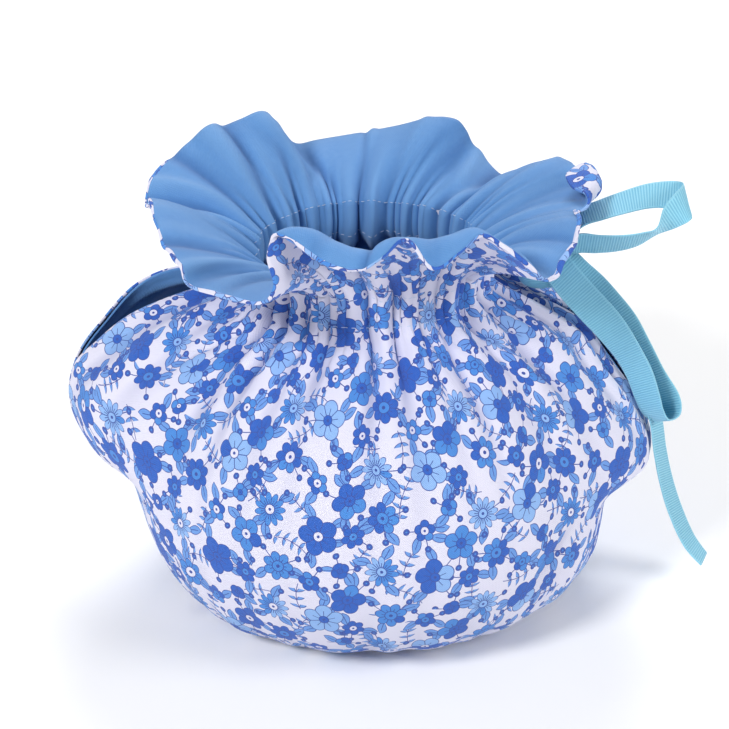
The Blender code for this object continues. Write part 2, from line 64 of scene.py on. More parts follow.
# Sizes of the construction, in millimetres and degrees.
NECK_RADIUS = 43.4
NECK_HEIGHT = 135.0
NECK_X = -9.4
SOLE_HEIGHT = 1.375
LEFT_AZIMUTH = 180.0
RIGHT_AZIMUTH = 0.0
LEFT_REACH = 44.0
RIGHT_REACH = 44.0

# The right slit lies towards the back, and the back panel's edge stands up along the left slit.
RIGHT_SLIT_SET_BACK = 0.3
LIP_LEVEL = 10.7
LIP_LEVEL_REACH = 2.0
LIP_SHARE = 0.03
LIP_BACK = 4.0
LIP_RISE = 4.5
SEAM_HALF_GAP = 0.2

# A row is a level of the cloth, from the hem up to the casing's upper stitch line: radius and height
# of the round body, of the bulge on the left and of the bulge on the right, then the depth of the
# gathers and half the opening between the panels on the left and on the right.
LEVELS = (
    ("hem_edge", 50.0, 0.0, 50.0, 0.0, 50.0, 0.0, 0.0, 0.0, 0.0),
    ("foot", 63.0, 0.0, 63.0, 0.0, 63.0, 0.0, 0.0, 0.0, 0.0),
    ("turn", 74.0, 5.5, 74.0, 6.5, 75.0, 5.5, 0.5, 0.0, 0.0),
    ("low", 84.0, 19.0, 84.0, 23.0, 84.5, 19.0, 0.4, 0.0, 0.0),
    ("belly_low", 89.5, 35.0, 89.0, 39.0, 89.0, 33.0, 0.2, 0.0, 0.0),
    ("belly", 90.5, 51.0, 95.5, 49.5, 97.0, 42.0, 0.2, 0.0, 0.0),
    ("belly_high", 88.0, 67.0, 107.5, 59.5, 106.5, 50.0, 0.3, 0.0, 0.0),
    ("shoulder_low", 82.5, 82.0, 113.0, 72.0, 106.0, 61.5, 0.6, 0.0, 0.0),
    ("shoulder", 74.0, 95.5, 111.5, 86.0, 99.0, 76.5, 1.1, 3.0, 4.0),
    ("shoulder_mid", 64.5, 105.5, 103.0, 99.0, 89.5, 90.5, 1.5, 9.0, 7.0),
    ("shoulder_high", 55.0, 112.3, 90.0, 110.5, 79.5, 104.0, 1.8, 9.5, 3.0),
    ("under_casing", 47.5, 117.0, 70.0, 118.0, 63.0, 113.5, 2.0, 6.5, 0.0),
    ("casing_low", 43.5, 122.5, 46.0, 122.0, 45.5, 122.0, 2.0, 0.0, 0.0),
    ("casing_mid", 42.5, 128.5, 43.0, 128.5, 43.0, 128.5, 2.0, 0.0, 0.0),
    ("casing_top", 43.4, 135.0, 43.4, 135.0, 43.4, 135.0, 2.0, 0.0, 0.0),
)
TOP_LEVEL = len(LEVELS) - 1
LEVEL_NUMBERS = np.array([row[1:] for row in LEVELS])
ROUND_COLUMNS = (0, 1)
LEFT_COLUMNS = (2, 3)
RIGHT_COLUMNS = (4, 5)
GATHER_COLUMN = 6
LEFT_SLIT_COLUMN = 7
RIGHT_SLIT_COLUMN = 8

# A row is a crest, a hollow or a flank of the frill's edge: azimuth, lift above level, width from the
# casing to its edge or to the fold where it turns over, and the cloth past that fold: above zero it
# lies folded in over the lining, and below zero it curls out and down.
BACK_FRILL = (
    ("right_seam", -10.0, 31.0, 37.0, 0.0),
    ("flap_foot", -5.0, 28.0, 37.5, 4.0),
    ("flap_low", 0.5, 25.5, 38.0, 12.0),
    ("flap_corner", 5.5, 24.5, 42.0, 18.0),
    ("flap", 9.5, 24.5, 43.0, 17.5),
    ("flap_top", 13.5, 25.0, 43.0, 12.0),
    ("flap_end", 17.5, 25.5, 43.5, 3.0),
    ("lobe", 21.5, 26.5, 45.0, 0.0),
    ("lobe_crest", 28.0, 25.0, 45.0, 0.0),
    ("slope", 37.0, 18.0, 45.0, 0.0),
    ("valley_start", 43.0, 10.0, 45.0, 0.0),
    ("valley", 49.0, 4.0, 45.0, 0.0),
    ("valley_end", 56.0, 5.0, 45.0, 0.0),
    ("rise", 61.0, 12.0, 45.0, 0.0),
    ("rise_top", 62.5, 24.0, 45.0, 0.0),
    ("crest_right", 65.0, 32.0, 45.0, 0.0),
    ("after_crest", 72.0, 30.0, 45.0, 0.0),
    ("pressed", 82.0, 22.0, 45.0, 0.0),
    ("saddle", 93.0, 16.5, 45.0, 0.0),
    ("hollow", 104.0, 13.5, 45.0, 0.0),
    ("hollow_end", 109.5, 13.0, 45.0, 0.0),
    ("steep", 113.5, 20.0, 45.0, 0.0),
    ("steep_top", 117.5, 31.0, 45.0, 0.0),
    ("crest_left", 124.0, 39.0, 45.0, 0.0),
    ("ridge", 134.0, 39.0, 45.0, 0.0),
    ("ridge_end", 143.0, 41.0, 45.0, 0.0),
    ("step_down", 150.0, 36.0, 45.0, 0.0),
    ("left_lobe", 158.0, 34.0, 45.0, 0.0),
    ("left_tip", 166.0, 28.5, 45.0, 0.0),
    ("tuck", 174.0, 25.0, 44.0, 0.0),
    ("left_seam", 182.0, 27.0, 42.0, 0.0),
)
FRONT_FRILL = (
    ("left_seam", 182.0, 27.0, 42.0, 0.0),
    ("notch_end", 188.0, 32.0, 44.0, 0.0),
    ("side_lobe", 196.0, 32.0, 45.0, 0.0),
    ("side_lobe_end", 206.0, 30.0, 45.0, 0.0),
    ("fall", 213.5, 27.0, 45.0, 0.0),
    ("fall_end", 219.0, 20.0, 45.0, 0.0),
    ("low_lobe", 224.0, 15.0, 45.0, 0.0),
    ("low_mid", 234.0, 16.0, 45.0, 0.0),
    ("low_end", 245.0, 17.0, 45.0, 0.0),
    ("cliff", 248.0, 25.0, 45.0, 0.0),
    ("cliff_top", 245.5, 39.0, 42.0, -4.0),
    ("crest_left", 246.5, 51.0, 39.5, -7.0),
    ("wave_one", 252.5, 56.0, 38.0, -11.0),
    ("dip_one", 262.0, 50.0, 38.0, -13.0),
    ("dip_two", 269.0, 47.0, 38.0, -12.0),
    ("rise_two", 275.6, 52.5, 38.0, -11.5),
    ("point", 280.2, 52.5, 38.5, -5.0),
    ("hang", 286.6, 51.0, 38.0, -16.0),
    ("rise_three", 293.0, 51.5, 38.0, -12.5),
    ("crest_right", 300.4, 52.0, 38.5, -8.0),
    ("crest_end", 304.5, 43.0, 40.0, -7.0),
    ("slide", 308.5, 33.0, 42.0, -8.0),
    ("slide_end", 311.5, 24.0, 43.0, -5.0),
    ("right_low", 315.5, 18.0, 45.0, 0.0),
    ("right_rise", 321.0, 22.0, 45.0, 0.0),
    ("right_lobe", 327.0, 27.0, 45.0, 0.0),
    ("right_tip", 334.0, 33.0, 45.0, 0.0),
    ("tip_end", 342.0, 33.0, 40.5, 0.0),
    ("right_seam", 350.0, 31.0, 37.0, 0.0),
)

# A row is a fold of the body: from an azimuth and level to another, its height out of the cloth
# (below zero for a trough) and its half-width.
FOLDS = (
    ("drag_left_long", 246.0, 12.0, 205.0, 7.5, 1.7, 7.0),
    ("drag_left_short", 238.0, 12.0, 216.0, 9.0, -1.5, 6.0),
    ("drag_left_high", 228.0, 12.0, 196.0, 9.5, 1.7, 6.0),
    ("front_left", 252.0, 12.0, 243.0, 7.0, -1.6, 6.0),
    ("front_mid_left", 262.0, 12.0, 259.0, 7.5, 1.5, 6.0),
    ("front_mid", 273.0, 12.0, 275.0, 8.0, -1.4, 6.0),
    ("front_mid_right", 285.0, 12.0, 291.0, 7.5, 1.4, 6.0),
    ("front_right", 294.0, 12.0, 305.0, 7.0, -1.7, 6.0),
    ("drag_right_long", 302.0, 12.0, 325.0, 7.0, 1.7, 7.0),
    ("drag_right_short", 313.0, 12.0, 338.0, 8.0, -1.5, 6.0),
    ("drag_right_high", 326.0, 12.0, 346.0, 8.5, 1.6, 6.0),
    ("left_tuck", 180.0, 4.4, 214.0, 5.4, -2.0, 9.0),
    ("right_tuck", 360.0, 4.2, 328.0, 5.2, -2.2, 9.0),
    ("hem_crease", 256.0, 2.5, 288.0, 2.5, -1.0, 8.0),
    ("low_right_crease", 324.0, 4.6, 303.0, 2.8, -1.3, 8.0),
    ("low_left_crease", 226.0, 3.4, 238.0, 2.2, 1.0, 8.0),
    ("back_left_long", 118.0, 12.0, 146.0, 7.5, 1.6, 7.0),
    ("back_left_high", 132.0, 12.0, 160.0, 9.0, -1.5, 6.0),
    ("back_mid_left", 100.0, 12.0, 104.0, 7.5, -1.5, 6.0),
    ("back_mid_right", 82.0, 12.0, 77.0, 7.5, 1.5, 6.0),
    ("back_right_long", 62.0, 12.0, 38.0, 7.5, -1.6, 7.0),
    ("back_right_high", 50.0, 12.0, 22.0, 9.0, 1.5, 6.0),
    ("back_left_tuck", 180.0, 4.4, 148.0, 5.4, -2.0, 9.0),
    ("back_right_tuck", 0.0, 4.2, 32.0, 5.2, -2.0, 9.0),
    ("back_hem_crease", 74.0, 2.5, 102.0, 2.5, -1.0, 8.0),
)
# Soft creases too narrow for the solids, written as the folds are.
CREASES = (
    ("pull_left_one", 243.0, 12.2, 214.0, 6.6, -1.2, 2.4),
    ("pull_left_two", 233.0, 12.2, 208.0, 8.0, 1.4, 2.6),
    ("pull_left_three", 222.0, 12.0, 199.0, 8.2, -1.2, 2.4),
    ("pull_left_four", 249.0, 12.2, 228.0, 8.6, 1.4, 2.2),
    ("pull_mid_one", 257.0, 12.2, 252.0, 8.4, -1.4, 2.2),
    ("pull_mid_two", 267.0, 12.2, 266.0, 7.8, 1.4, 2.2),
    ("pull_mid_three", 279.0, 12.2, 282.0, 8.6, -1.4, 2.2),
    ("pull_mid_four", 290.0, 12.2, 298.0, 8.0, 1.4, 2.4),
    ("pull_right_one", 299.0, 12.2, 315.0, 8.2, -1.4, 2.4),
    ("pull_right_two", 307.0, 12.2, 333.0, 7.4, 1.4, 2.6),
    ("pull_right_three", 320.0, 12.0, 345.0, 9.0, -1.2, 2.4),
    ("belly_right_line", 331.0, 5.4, 304.0, 3.6, -1.4, 2.6),
    ("belly_left_line", 214.0, 5.0, 232.0, 2.8, 1.2, 2.8),
    ("hem_line_left", 236.0, 2.4, 262.0, 2.2, -1.2, 2.6),
    ("hem_line_mid", 262.0, 3.0, 292.0, 2.7, 1.0, 2.8),
    ("hem_line_right", 288.0, 2.4, 316.0, 2.6, -1.2, 2.6),
    ("back_pull_one", 126.0, 12.2, 150.0, 8.0, 1.4, 2.4),
    ("back_pull_two", 110.0, 12.2, 121.0, 8.4, -1.4, 2.3),
    ("back_pull_three", 92.0, 12.2, 91.0, 8.0, 1.4, 2.3),
    ("back_pull_four", 72.0, 12.2, 60.0, 8.4, -1.4, 2.3),
    ("back_pull_five", 56.0, 12.2, 34.0, 8.0, 1.4, 2.4),
    ("back_hem_line", 62.0, 2.4, 112.0, 2.6, -1.2, 2.6),
)
FOLD_MM_PER_DEGREE = 1.35
FOLD_MM_PER_LEVEL = 13.0

# A row is a place where the body stands out of its round, or is drawn in: azimuth, reach in degrees,
# level, reach in levels, and millimetres outwards.
SAGS = (
    ("low_right_full", 340.0, 70.0, 2.8, 2.3, 3.6),
    ("hem_drawn_in", 285.0, 85.0, 1.0, 1.9, -6.5),
    ("low_back_full", 60.0, 60.0, 3.0, 2.5, 1.5),
)

GATHERS_PER_PANEL = 14
GATHER_DEPTH = 0.72
GATHER_UNEVEN = 0.28
GATHER_DRIFT_WIDE = 0.016
GATHER_DRIFT_FINE = 0.008
GATHER_SEAM_SHARE = 0.03
FINE_GATHERS_PER_PANEL = 33
FINE_GATHER_DEPTH = 1.5
FINE_UNEVEN = 0.45
FINE_DRIFT_WIDE = 0.011
FINE_DRIFT_FINE = 0.006
FINE_FROM_LEVEL = 7.4
FINE_GATHER_FADE = 2.5
FRILL_EDGE_SAMPLES = 600
FRILL_FLARE = 20.0
FRILL_FLARE_SHARE = 0.42
FRILL_LEAN_SHARE = 0.3
FLAP_RADIUS = 2.8
FLAP_TURN = 172.0
CURL_RADIUS = 7.0
CURL_TURN = 125.0
GATHER_FADE = 1.4
SEAM_REACH = 4.0

# How finely the cloth is made, and over how many columns the print's height is levelled out.
COLUMNS = 340
ROWS_PER_LEVEL = 6
FRILL_ROWS = 38
LEVELLED_COLUMNS = 9
RELIEF_COLUMNS = 14

# Thickness and place of each cloth, as distances out of the surface midway between them.
OUTER_FACE = 1.375
OUTER_INNER_FACE = 0.55
LINING_INNER_FACE = -0.15
LINING_FACE = -0.9

# The frill's edge, pressed thin, where the printed cloth rolls over the lining's edge.
ROLL_FROM = 0.982
ROLL_ROWS = 8
ROLL_OUT = 0.15
ROLL_OUT_SHOWN = 0.55
ROLL_UNDER = 0.3
ROLL_UNDER_SHOWN = 0.4
ROLL_RETURN = 0.25
ROLL_RETURN_SHOWN = 0.75
ROLL_RETURN_ROWS = 3
ROLL_TUCK = 0.3
ROLL_CLOTH = 0.3
ROLL_UNEVEN = 0.3
ROLL_WAVES = 9.0
PRESSED_FROM = 0.86
PRESSED_SHARE = 0.5

# How much of the roll shows on the lining side: azimuth and share of each panel's edge.
BACK_ROLL = ((-10, 0.5), (0, 0.1), (20, 0.0), (150, 0.0), (158, 0.2), (166, 0.7), (182, 0.6))
FRONT_ROLL = (
    (180, 0.6), (200, 0.5), (214, 0.75), (245, 0.8), (262, 0.7), (300, 0.7), (318, 1.1), (350, 1.2),
)

# A row is a fold of the frill: its azimuth at the casing and at the edge, half-width in degrees, height
# (below zero it rises on the lining's side), and the steps between which it lies.
FRILL_CREASES = (
    ("lobe_valley", 168.0, 177.0, 3.2, 3.4, -0.1, 1.9),
    ("lobe_valley_lip", 161.0, 171.0, 2.6, -2.0, 0.1, 1.9),
    ("left_hollow", 160.0, 159.0, 2.8, 2.3, 0.0, 1.7),
    ("left_ridge", 151.0, 148.0, 3.6, -3.0, 0.0, 1.6),
    ("left_line", 141.0, 142.0, 2.4, 1.8, 0.1, 1.3),
    ("crest_ridge", 115.0, 132.0, 3.6, -2.8, 0.0, 1.5),
    ("crest_hollow", 107.0, 116.0, 2.6, 2.6, -0.1, 1.2),
    ("pressed_middle", 92.0, 96.0, 0.9, -0.9, 0.3, 1.9),
    ("pressed_middle_edge", 94.5, 98.0, 0.9, 0.7, 0.3, 1.9),
    ("pressed_right", 80.0, 82.0, 1.5, -0.7, 0.2, 1.6),
    ("right_hollow", 72.0, 75.0, 2.6, 1.0, 0.0, 1.3),
    ("right_ridge", 50.0, 64.0, 2.8, -2.4, 0.0, 1.6),
    ("right_valley", 42.0, 56.0, 3.0, 2.9, -0.1, 1.5),
    ("lobe_ridge", 27.0, 34.0, 2.8, -1.3, 0.0, 1.4),
    ("lobe_line", 16.0, 21.0, 2.2, 1.1, 0.0, 1.2),
    ("seam_line", 5.0, 8.0, 2.0, -0.9, 0.0, 1.1),
    ("low_left_rise", 196.0, 193.0, 4.5, -1.8, 0.1, 1.7),
    ("low_left_hollow", 212.0, 208.0, 3.4, 3.0, 0.0, 1.7),
    ("low_left_ridge", 221.0, 218.0, 2.8, -2.8, 0.0, 1.7),
    ("low_left_line", 229.0, 233.0, 2.2, 1.1, 0.0, 1.2),
    ("band_left", 262.0, 262.0, 3.0, -1.0, 0.4, 1.8),
    ("band_dip", 271.0, 271.0, 2.0, 1.0, 0.4, 1.8),
    ("band_notch", 281.0, 281.0, 1.4, 1.9, 0.4, 1.8),
    ("band_right", 294.0, 294.0, 2.2, 1.1, 0.4, 1.8),
    ("low_right_line", 325.0, 322.0, 2.4, 1.1, 0.1, 1.3),
    ("low_right_ridge", 333.0, 331.0, 2.6, -1.0, 0.0, 1.4),
    ("low_right_crease", 341.0, 338.0, 1.8, 0.9, 0.1, 1.5),
)

# The cut size: a panel's width in millimetres.
PANEL_WIDTH = 290.0

RIBBON_WIDTH = 12.0
RIBBON_THICK = 0.55
RIB_PITCH = 1.0
RIB_HEIGHT = 0.13
SELVEDGE = 0.7
RIBBON_ACROSS = np.array([-6.0, -5.75, -5.3, -5.15, -2.0, 2.0, 5.15, 5.3, 5.75, 6.0])
SAMPLES_PER_RIB = 5

# A row is a point on the middle of the ribbon and the direction of its width there, from its lower
# edge to its upper one.
OUT_LOOP = (
    (61.0, 0.0, 129.0, 0.20, 0.90, 0.30),
    (68.6, -1.0, 129.0, 0.19, 0.97, 0.14),
    (72.4, 4.0, 137.2, 0.06, 0.99, 0.10),
    (77.4, 6.0, 143.6, -0.06, 0.98, 0.17),
    (84.8, 7.0, 146.3, -0.09, 0.97, 0.22),
    (92.0, 7.5, 148.7, -0.06, 0.95, 0.30),
    (101.1, 7.5, 151.5, 0.03, 0.90, 0.43),
    (108.3, 7.0, 152.5, 0.16, 0.83, 0.54),
    (113.5, 5.0, 152.7, 0.03, 0.77, 0.64),
    (115.4, 1.0, 152.5, -0.25, 0.45, 0.86),
    (113.0, -3.5, 151.8, -0.45, 0.10, 0.89),
    (108.8, -6.0, 148.9, -0.52, -0.35, 0.78),
    (104.0, -7.0, 143.9, -0.16, -0.82, 0.56),
    (98.1, -7.0, 140.7, 0.00, -0.70, 0.71),
    (91.0, -6.5, 138.9, 0.00, -0.63, 0.78),
    (83.0, -6.0, 138.3, 0.00, -0.57, 0.82),
    (75.9, -5.0, 138.1, 0.00, -0.51, 0.86),
    (69.7, -3.0, 133.8, 0.00, -0.47, 0.88),
    (67.4, -2.0, 128.6, 0.00, -0.47, 0.88),
    (60.0, -1.0, 127.5, 0.00, -0.47, 0.88),
)
HANGING_LOOP = (
    (60.0, -2.0, 130.0, 0.70, 0.50, 0.50),
    (65.8, -3.0, 131.4, 0.70, 0.47, 0.54),
    (69.7, -8.0, 128.1, 0.71, 0.40, 0.58),
    (75.6, -12.0, 122.0, 0.75, 0.30, 0.59),
    (81.9, -14.5, 115.8, 0.78, 0.10, 0.62),
    (87.8, -15.5, 109.3, 0.76, -0.13, 0.64),
    (94.4, -16.0, 100.2, 0.66, -0.43, 0.61),
    (99.8, -16.0, 90.6, 0.66, -0.51, 0.54),
    (103.5, -16.0, 80.9, 0.63, -0.58, 0.51),
    (106.3, -15.5, 73.9, 0.51, -0.70, 0.50),
    (110.1, -13.5, 69.1, 0.38, -0.79, 0.48),
    (113.6, -11.0, 70.6, 0.51, -0.74, 0.45),
    (112.1, -10.0, 76.9, 0.63, -0.58, 0.51),
    (105.4, -9.5, 86.8, 0.70, -0.43, 0.57),
    (99.5, -9.5, 97.3, 0.73, -0.27, 0.63),
    (93.3, -9.0, 107.8, 0.76, -0.08, 0.65),
    (85.6, -7.5, 116.9, 0.73, 0.05, 0.68),
    (77.3, -4.5, 124.9, 0.70, 0.54, 0.47),
    (70.0, -1.5, 130.8, 0.63, 0.68, 0.36),
    (61.0, 0.5, 130.5, 0.50, 0.80, 0.36),
)
LONG_TAIL = (
    (60.0, 0.5, 128.0, 0.30, 0.92, 0.20),
    (67.5, -1.0, 129.0, 0.38, 0.91, 0.18),
    (75.8, -3.5, 120.4, 0.47, 0.88, 0.09),
    (85.5, -5.0, 110.4, 0.51, 0.86, -0.01),
    (95.5, -5.5, 97.0, 0.51, 0.85, -0.12),
    (103.7, -6.0, 81.2, 0.51, 0.84, -0.21),
    (108.7, -8.0, 67.2, 0.51, 0.82, -0.27),
    (110.9, -11.0, 54.9, 0.52, 0.80, -0.30),
    (114.0, -12.0, 42.2, 0.54, 0.80, -0.27),
    (118.3, -13.5, 29.6, 0.54, 0.82, -0.20),
    (124.3, -15.0, 16.9, 0.47, 0.87, -0.12),
    (130.7, -16.0, 8.7, 0.35, 0.93, -0.12),
)
STEM_LOWER = (
    (47.9, 3.5, 131.0, 0.00, 1.00, 0.15),
    (54.0, 2.5, 131.0, 0.00, 1.00, 0.15),
    (60.0, 0.0, 130.5, 0.00, 1.00, 0.20),
)
STEM_UPPER = (
    (48.2, 4.5, 133.4, 0.00, 1.00, 0.05),
    (54.0, 3.0, 133.4, 0.00, 1.00, 0.05),
    (60.0, 0.5, 132.0, 0.00, 1.00, 0.10),
)
RIBBON_RUNS = (OUT_LOOP, HANGING_LOOP, LONG_TAIL, STEM_LOWER, STEM_UPPER)
KNOT_CENTRE = (62.5, -2.0, 128.0)
KNOT_SIZE = (8.3, 7.3, 8.3)
KNOT_TURN_STEPS = 240
KNOT_SIDE_STEPS = 26
KNOT_SQUARENESS = 3.0
KNOT_RIPPLE = 0.05
KNOT_CREASE = 0.06
KNOT_CREASE_PLACE = 0.35
KNOT_CREASE_REACH = 0.12
KNOT_LEAST = 0.02

# The casing's stitch lines: level, and the cloth's face that they show on.
STITCH_PITCH = 3.0
STITCH_LENGTH = 1.7
STITCH_UNEVEN = 0.4
STITCH_RADIUS = 0.14
STITCH_SIDES = 6
STITCH_LIFT = 0.06
STITCH_RINGS = ((0.0, 0.05), (0.12, 0.8), (0.5, 1.0), (0.88, 0.8), (1.0, 0.05))
STITCH_LINES = (
    ("upper_inside", 14.0, "lining"),
    ("lower_inside", 12.0, "lining"),
    ("upper_outside", 14.0, "outer"),
    ("lower_outside", 12.0, "outer"),
)

# The camera's place is in millimetres and its tilt in degrees, the floor in metres.
CAMERA_SENSOR = 36.0
CAMERA_LENS = 90.96
CAMERA_PLACE = (-11.5, -623.7, 405.2)
CAMERA_TILT = 63.0
FLOOR_HALF = 6.0
ROOM_STRENGTH = 0.33

# A row is a lamp: its place in metres, its width in metres and its power in watts.
LAMPS = (
    ("key_lamp", -0.75, -0.85, 0.95, 0.35, 13.0),
    ("side_lamp", 1.0, -0.45, 0.65, 0.5, 6.5),
    ("back_lamp", 0.1, 1.3, 1.35, 0.9, 19.0),
)


def catmull_rom(values, place):
    """Values read at fractional row numbers along a smooth curve through the rows."""
    last = len(values) - 1
    place = np.clip(place, 0, last)
    row = np.minimum(np.floor(place).astype(int), last - 1)
    part = place - row
    before = values[np.clip(row - 1, 0, last)]
    start = values[row]
    end = values[row + 1]
    after = values[np.clip(row + 2, 0, last)]
    bend = 2 * before - 5 * start + 4 * end - after
    swing = -before + 3 * start - 3 * end + after
    return start + 0.5 * part * ((end - before) + part * (bend + part * swing))


def unit(vectors):
    length = np.linalg.norm(vectors, axis=-1, keepdims=True)
    return vectors / np.maximum(length, 1e-9)


def hump(distance):
    """One at the middle, falling smoothly to zero at a distance of one."""
    return 0.5 + 0.5 * np.cos(math.pi * np.clip(np.abs(distance), 0, 1))


def around(azimuth, centre):
    """Degrees from the centre, from -180 to 180."""
    return (azimuth - centre + 180.0) % 360.0 - 180.0


def polar(azimuth, radius, height):
    angle = np.radians(azimuth)
    return np.stack([radius * np.cos(angle), radius * np.sin(angle), height + 0 * angle], -1)


def level_value(column, level):
    return catmull_rom(LEVEL_NUMBERS[:, column], level)


def body_point(azimuth, level):
    """The smooth body between its hem and its casing, with the two bulges."""
    over_left = hump(around(azimuth, LEFT_AZIMUTH) / LEFT_REACH)
    over_right = hump(around(azimuth, RIGHT_AZIMUTH) / RIGHT_REACH)
    sizes = []
    for number in range(2):
        plain = level_value(ROUND_COLUMNS[number], level)
        left = level_value(LEFT_COLUMNS[number], level)
        right = level_value(RIGHT_COLUMNS[number], level)
        sizes.append(plain + over_left * (left - plain) + over_right * (right - plain))
    radius, height = sizes
    for _, centre, reach, from_level, level_reach, outwards in SAGS:
        nearness = hump(around(azimuth, centre) / reach)
        radius = radius + outwards * nearness * hump((level - from_level) / level_reach)
    return polar(azimuth, radius, np.maximum(height, 0.0))


def gather_wave(share):
    """The uneven small pleats of a panel, drawn up by the casing, flat at its two seams."""
    wide = GATHER_DRIFT_WIDE * np.sin(3 * TURN * share + 0.7)
    fine = GATHER_DRIFT_FINE * np.sin(7 * TURN * share + 2.1)
    depth = GATHER_DEPTH + GATHER_UNEVEN * np.sin(4 * TURN * share + 1.3)
    at_seam = np.clip(np.minimum(share, 1 - share) / GATHER_SEAM_SHARE, 0, 1)
    return at_seam * depth * np.sin(GATHERS_PER_PANEL * TURN * (share + wide + fine))


def fine_gather_wave(share):
    """The narrower pleats between the main ones, rounded on top and sharp where they meet."""
    wide = FINE_DRIFT_WIDE * np.sin(5 * TURN * share + 0.4)
    drift = wide + FINE_DRIFT_FINE * np.sin(11 * TURN * share + 1.9)
    waxing = np.sin(6 * TURN * share + 2.6) * np.sin(2 * TURN * share + 0.9)
    depth = 1 - FINE_UNEVEN + FINE_UNEVEN * waxing
    at_seam = np.clip(np.minimum(share, 1 - share) / GATHER_SEAM_SHARE, 0, 1)
    pleat = 2 * np.abs(np.sin(0.5 * FINE_GATHERS_PER_PANEL * TURN * (share + drift))) - 1
    return at_seam * depth * pleat


def fold_height(table, azimuth, level):
    """The sum of a table's folds at each place."""
    total = 0 * azimuth
    for _, from_azimuth, from_level, to_azimuth, to_level, height, half_width in table:
        run_x = (to_azimuth - from_azimuth) * FOLD_MM_PER_DEGREE
        run_y = (to_level - from_level) * FOLD_MM_PER_LEVEL
        x = around(azimuth, from_azimuth) * FOLD_MM_PER_DEGREE
        y = (level - from_level) * FOLD_MM_PER_LEVEL
        along = (x * run_x + y * run_y) / (run_x**2 + run_y**2)
        across = (x * run_y - y * run_x) / math.hypot(run_x, run_y)
        total = total + height * np.exp(-((across / half_width) ** 2)) * hump(2 * along - 1)
    return total


def frill_rows(table):
    """The frill's table read at even steps along its cut edge, which is what the gathers share out."""
    numbers = np.array([row[1:] for row in table])
    fine = np.linspace(0, len(table) - 1, FRILL_EDGE_SAMPLES)
    azimuth, lift, width, _ = (catmull_rom(numbers[:, k], fine) for k in range(4))
    lift = np.radians(lift)
    edge = polar(azimuth, NECK_RADIUS + width * np.cos(lift), NECK_HEIGHT + width * np.sin(lift))
    length = np.concatenate([[0], np.cumsum(np.linalg.norm(np.diff(edge, axis=0), axis=1))])
    return numbers, fine, length / length[-1]


def frill_point(table, neck, neck_azimuth, share, step):
    """A point of the frill, from the casing at step 0 to the edge at step 1."""
    numbers, fine, length_share = frill_rows(table)
    place = np.interp(share, length_share, fine)
    azimuth, lift, width, turned = (catmull_rom(numbers[:, k], place) for k in range(4))
    leave = np.radians(lift + FRILL_FLARE)
    lift = np.radians(lift)
    edge = polar(azimuth, NECK_RADIUS + width * np.cos(lift), NECK_HEIGHT + width * np.sin(lift))
    flare = FRILL_FLARE_SHARE * width
    control = polar(
        neck_azimuth + FRILL_LEAN_SHARE * around(azimuth, neck_azimuth),
        NECK_RADIUS + flare * np.cos(leave),
        NECK_HEIGHT + flare * np.sin(leave),
    )
    whole = width + np.abs(turned)
    held = np.minimum(step * whole / width, 1.0)[..., None]
    point = (1 - held) ** 2 * neck + 2 * held * (1 - held) * control + held**2 * edge
    run = unit((1 - held) * (control - neck) + held * (edge - control))
    side = unit(np.cross(run, np.array([0.0, 0.0, 1.0])))
    upward = np.cross(side, run)
    length = np.maximum(step * whole - width, 0.0)
    inwards = turned > 0
    radius = np.where(inwards, FLAP_RADIUS, CURL_RADIUS)
    bent = np.minimum(length / radius, np.radians(np.where(inwards, FLAP_TURN, CURL_TURN)))
    straight = length - radius * bent
    forward = radius * np.sin(bent) + straight * np.cos(bent)
    over = np.sign(turned) * (radius * (1 - np.cos(bent)) + straight * np.sin(bent))
    return point + forward[..., None] * run + over[..., None] * upward


def smooth_panel(panel, share, rows, steps):
    """The panel's smooth cloth as a grid, one row for each body level and each frill step."""
    start = 0.0 if panel == "back" else 180.0
    azimuth = start + 180.0 * share
    grid = []
    for level in rows:
        sides = []
        for side, place, set_back in (
            (RIGHT_SLIT_COLUMN, RIGHT_AZIMUTH, RIGHT_SLIT_SET_BACK),
            (LEFT_SLIT_COLUMN, LEFT_AZIMUTH, 0.0),
        ):
            radius = np.linalg.norm(body_point(np.array(place), level)[:2])
            half_gap = max(level_value(side, level), SEAM_HALF_GAP)
            shift = set_back * (half_gap - SEAM_HALF_GAP)
            half_gap += shift if panel == "back" else -shift
            sides.append(math.degrees(half_gap / radius))
        at_start, at_end = sides if panel == "back" else reversed(sides)
        point = body_point(azimuth + at_start * (1 - share) ** 3 - at_end * share**3, level)
        if panel == "back":
            stands = hump((level - LIP_LEVEL) / LIP_LEVEL_REACH)
            stands = stands * np.clip(1 - (1 - share) / LIP_SHARE, 0, 1)[:, None] ** 2
            point = point + stands * np.array([0.0, LIP_BACK, LIP_RISE])
        grid.append(point)
    neck = grid[-1]
    table = BACK_FRILL if panel == "back" else FRONT_FRILL
    for step in steps:
        point = frill_point(table, neck, azimuth, share, step)
        inward = unit(point[..., 1, :] - point[..., 0, :]), unit(point[..., -2, :] - point[..., -1, :])
        point[..., 0, :] += SEAM_HALF_GAP * inward[0]
        point[..., -1, :] += SEAM_HALF_GAP * inward[1]
        grid.append(point)
    return np.stack(grid)


def grid_normals(grid):
    along = np.gradient(grid, axis=1)
    upward = np.gradient(grid, axis=0)
    return unit(np.cross(along, upward))


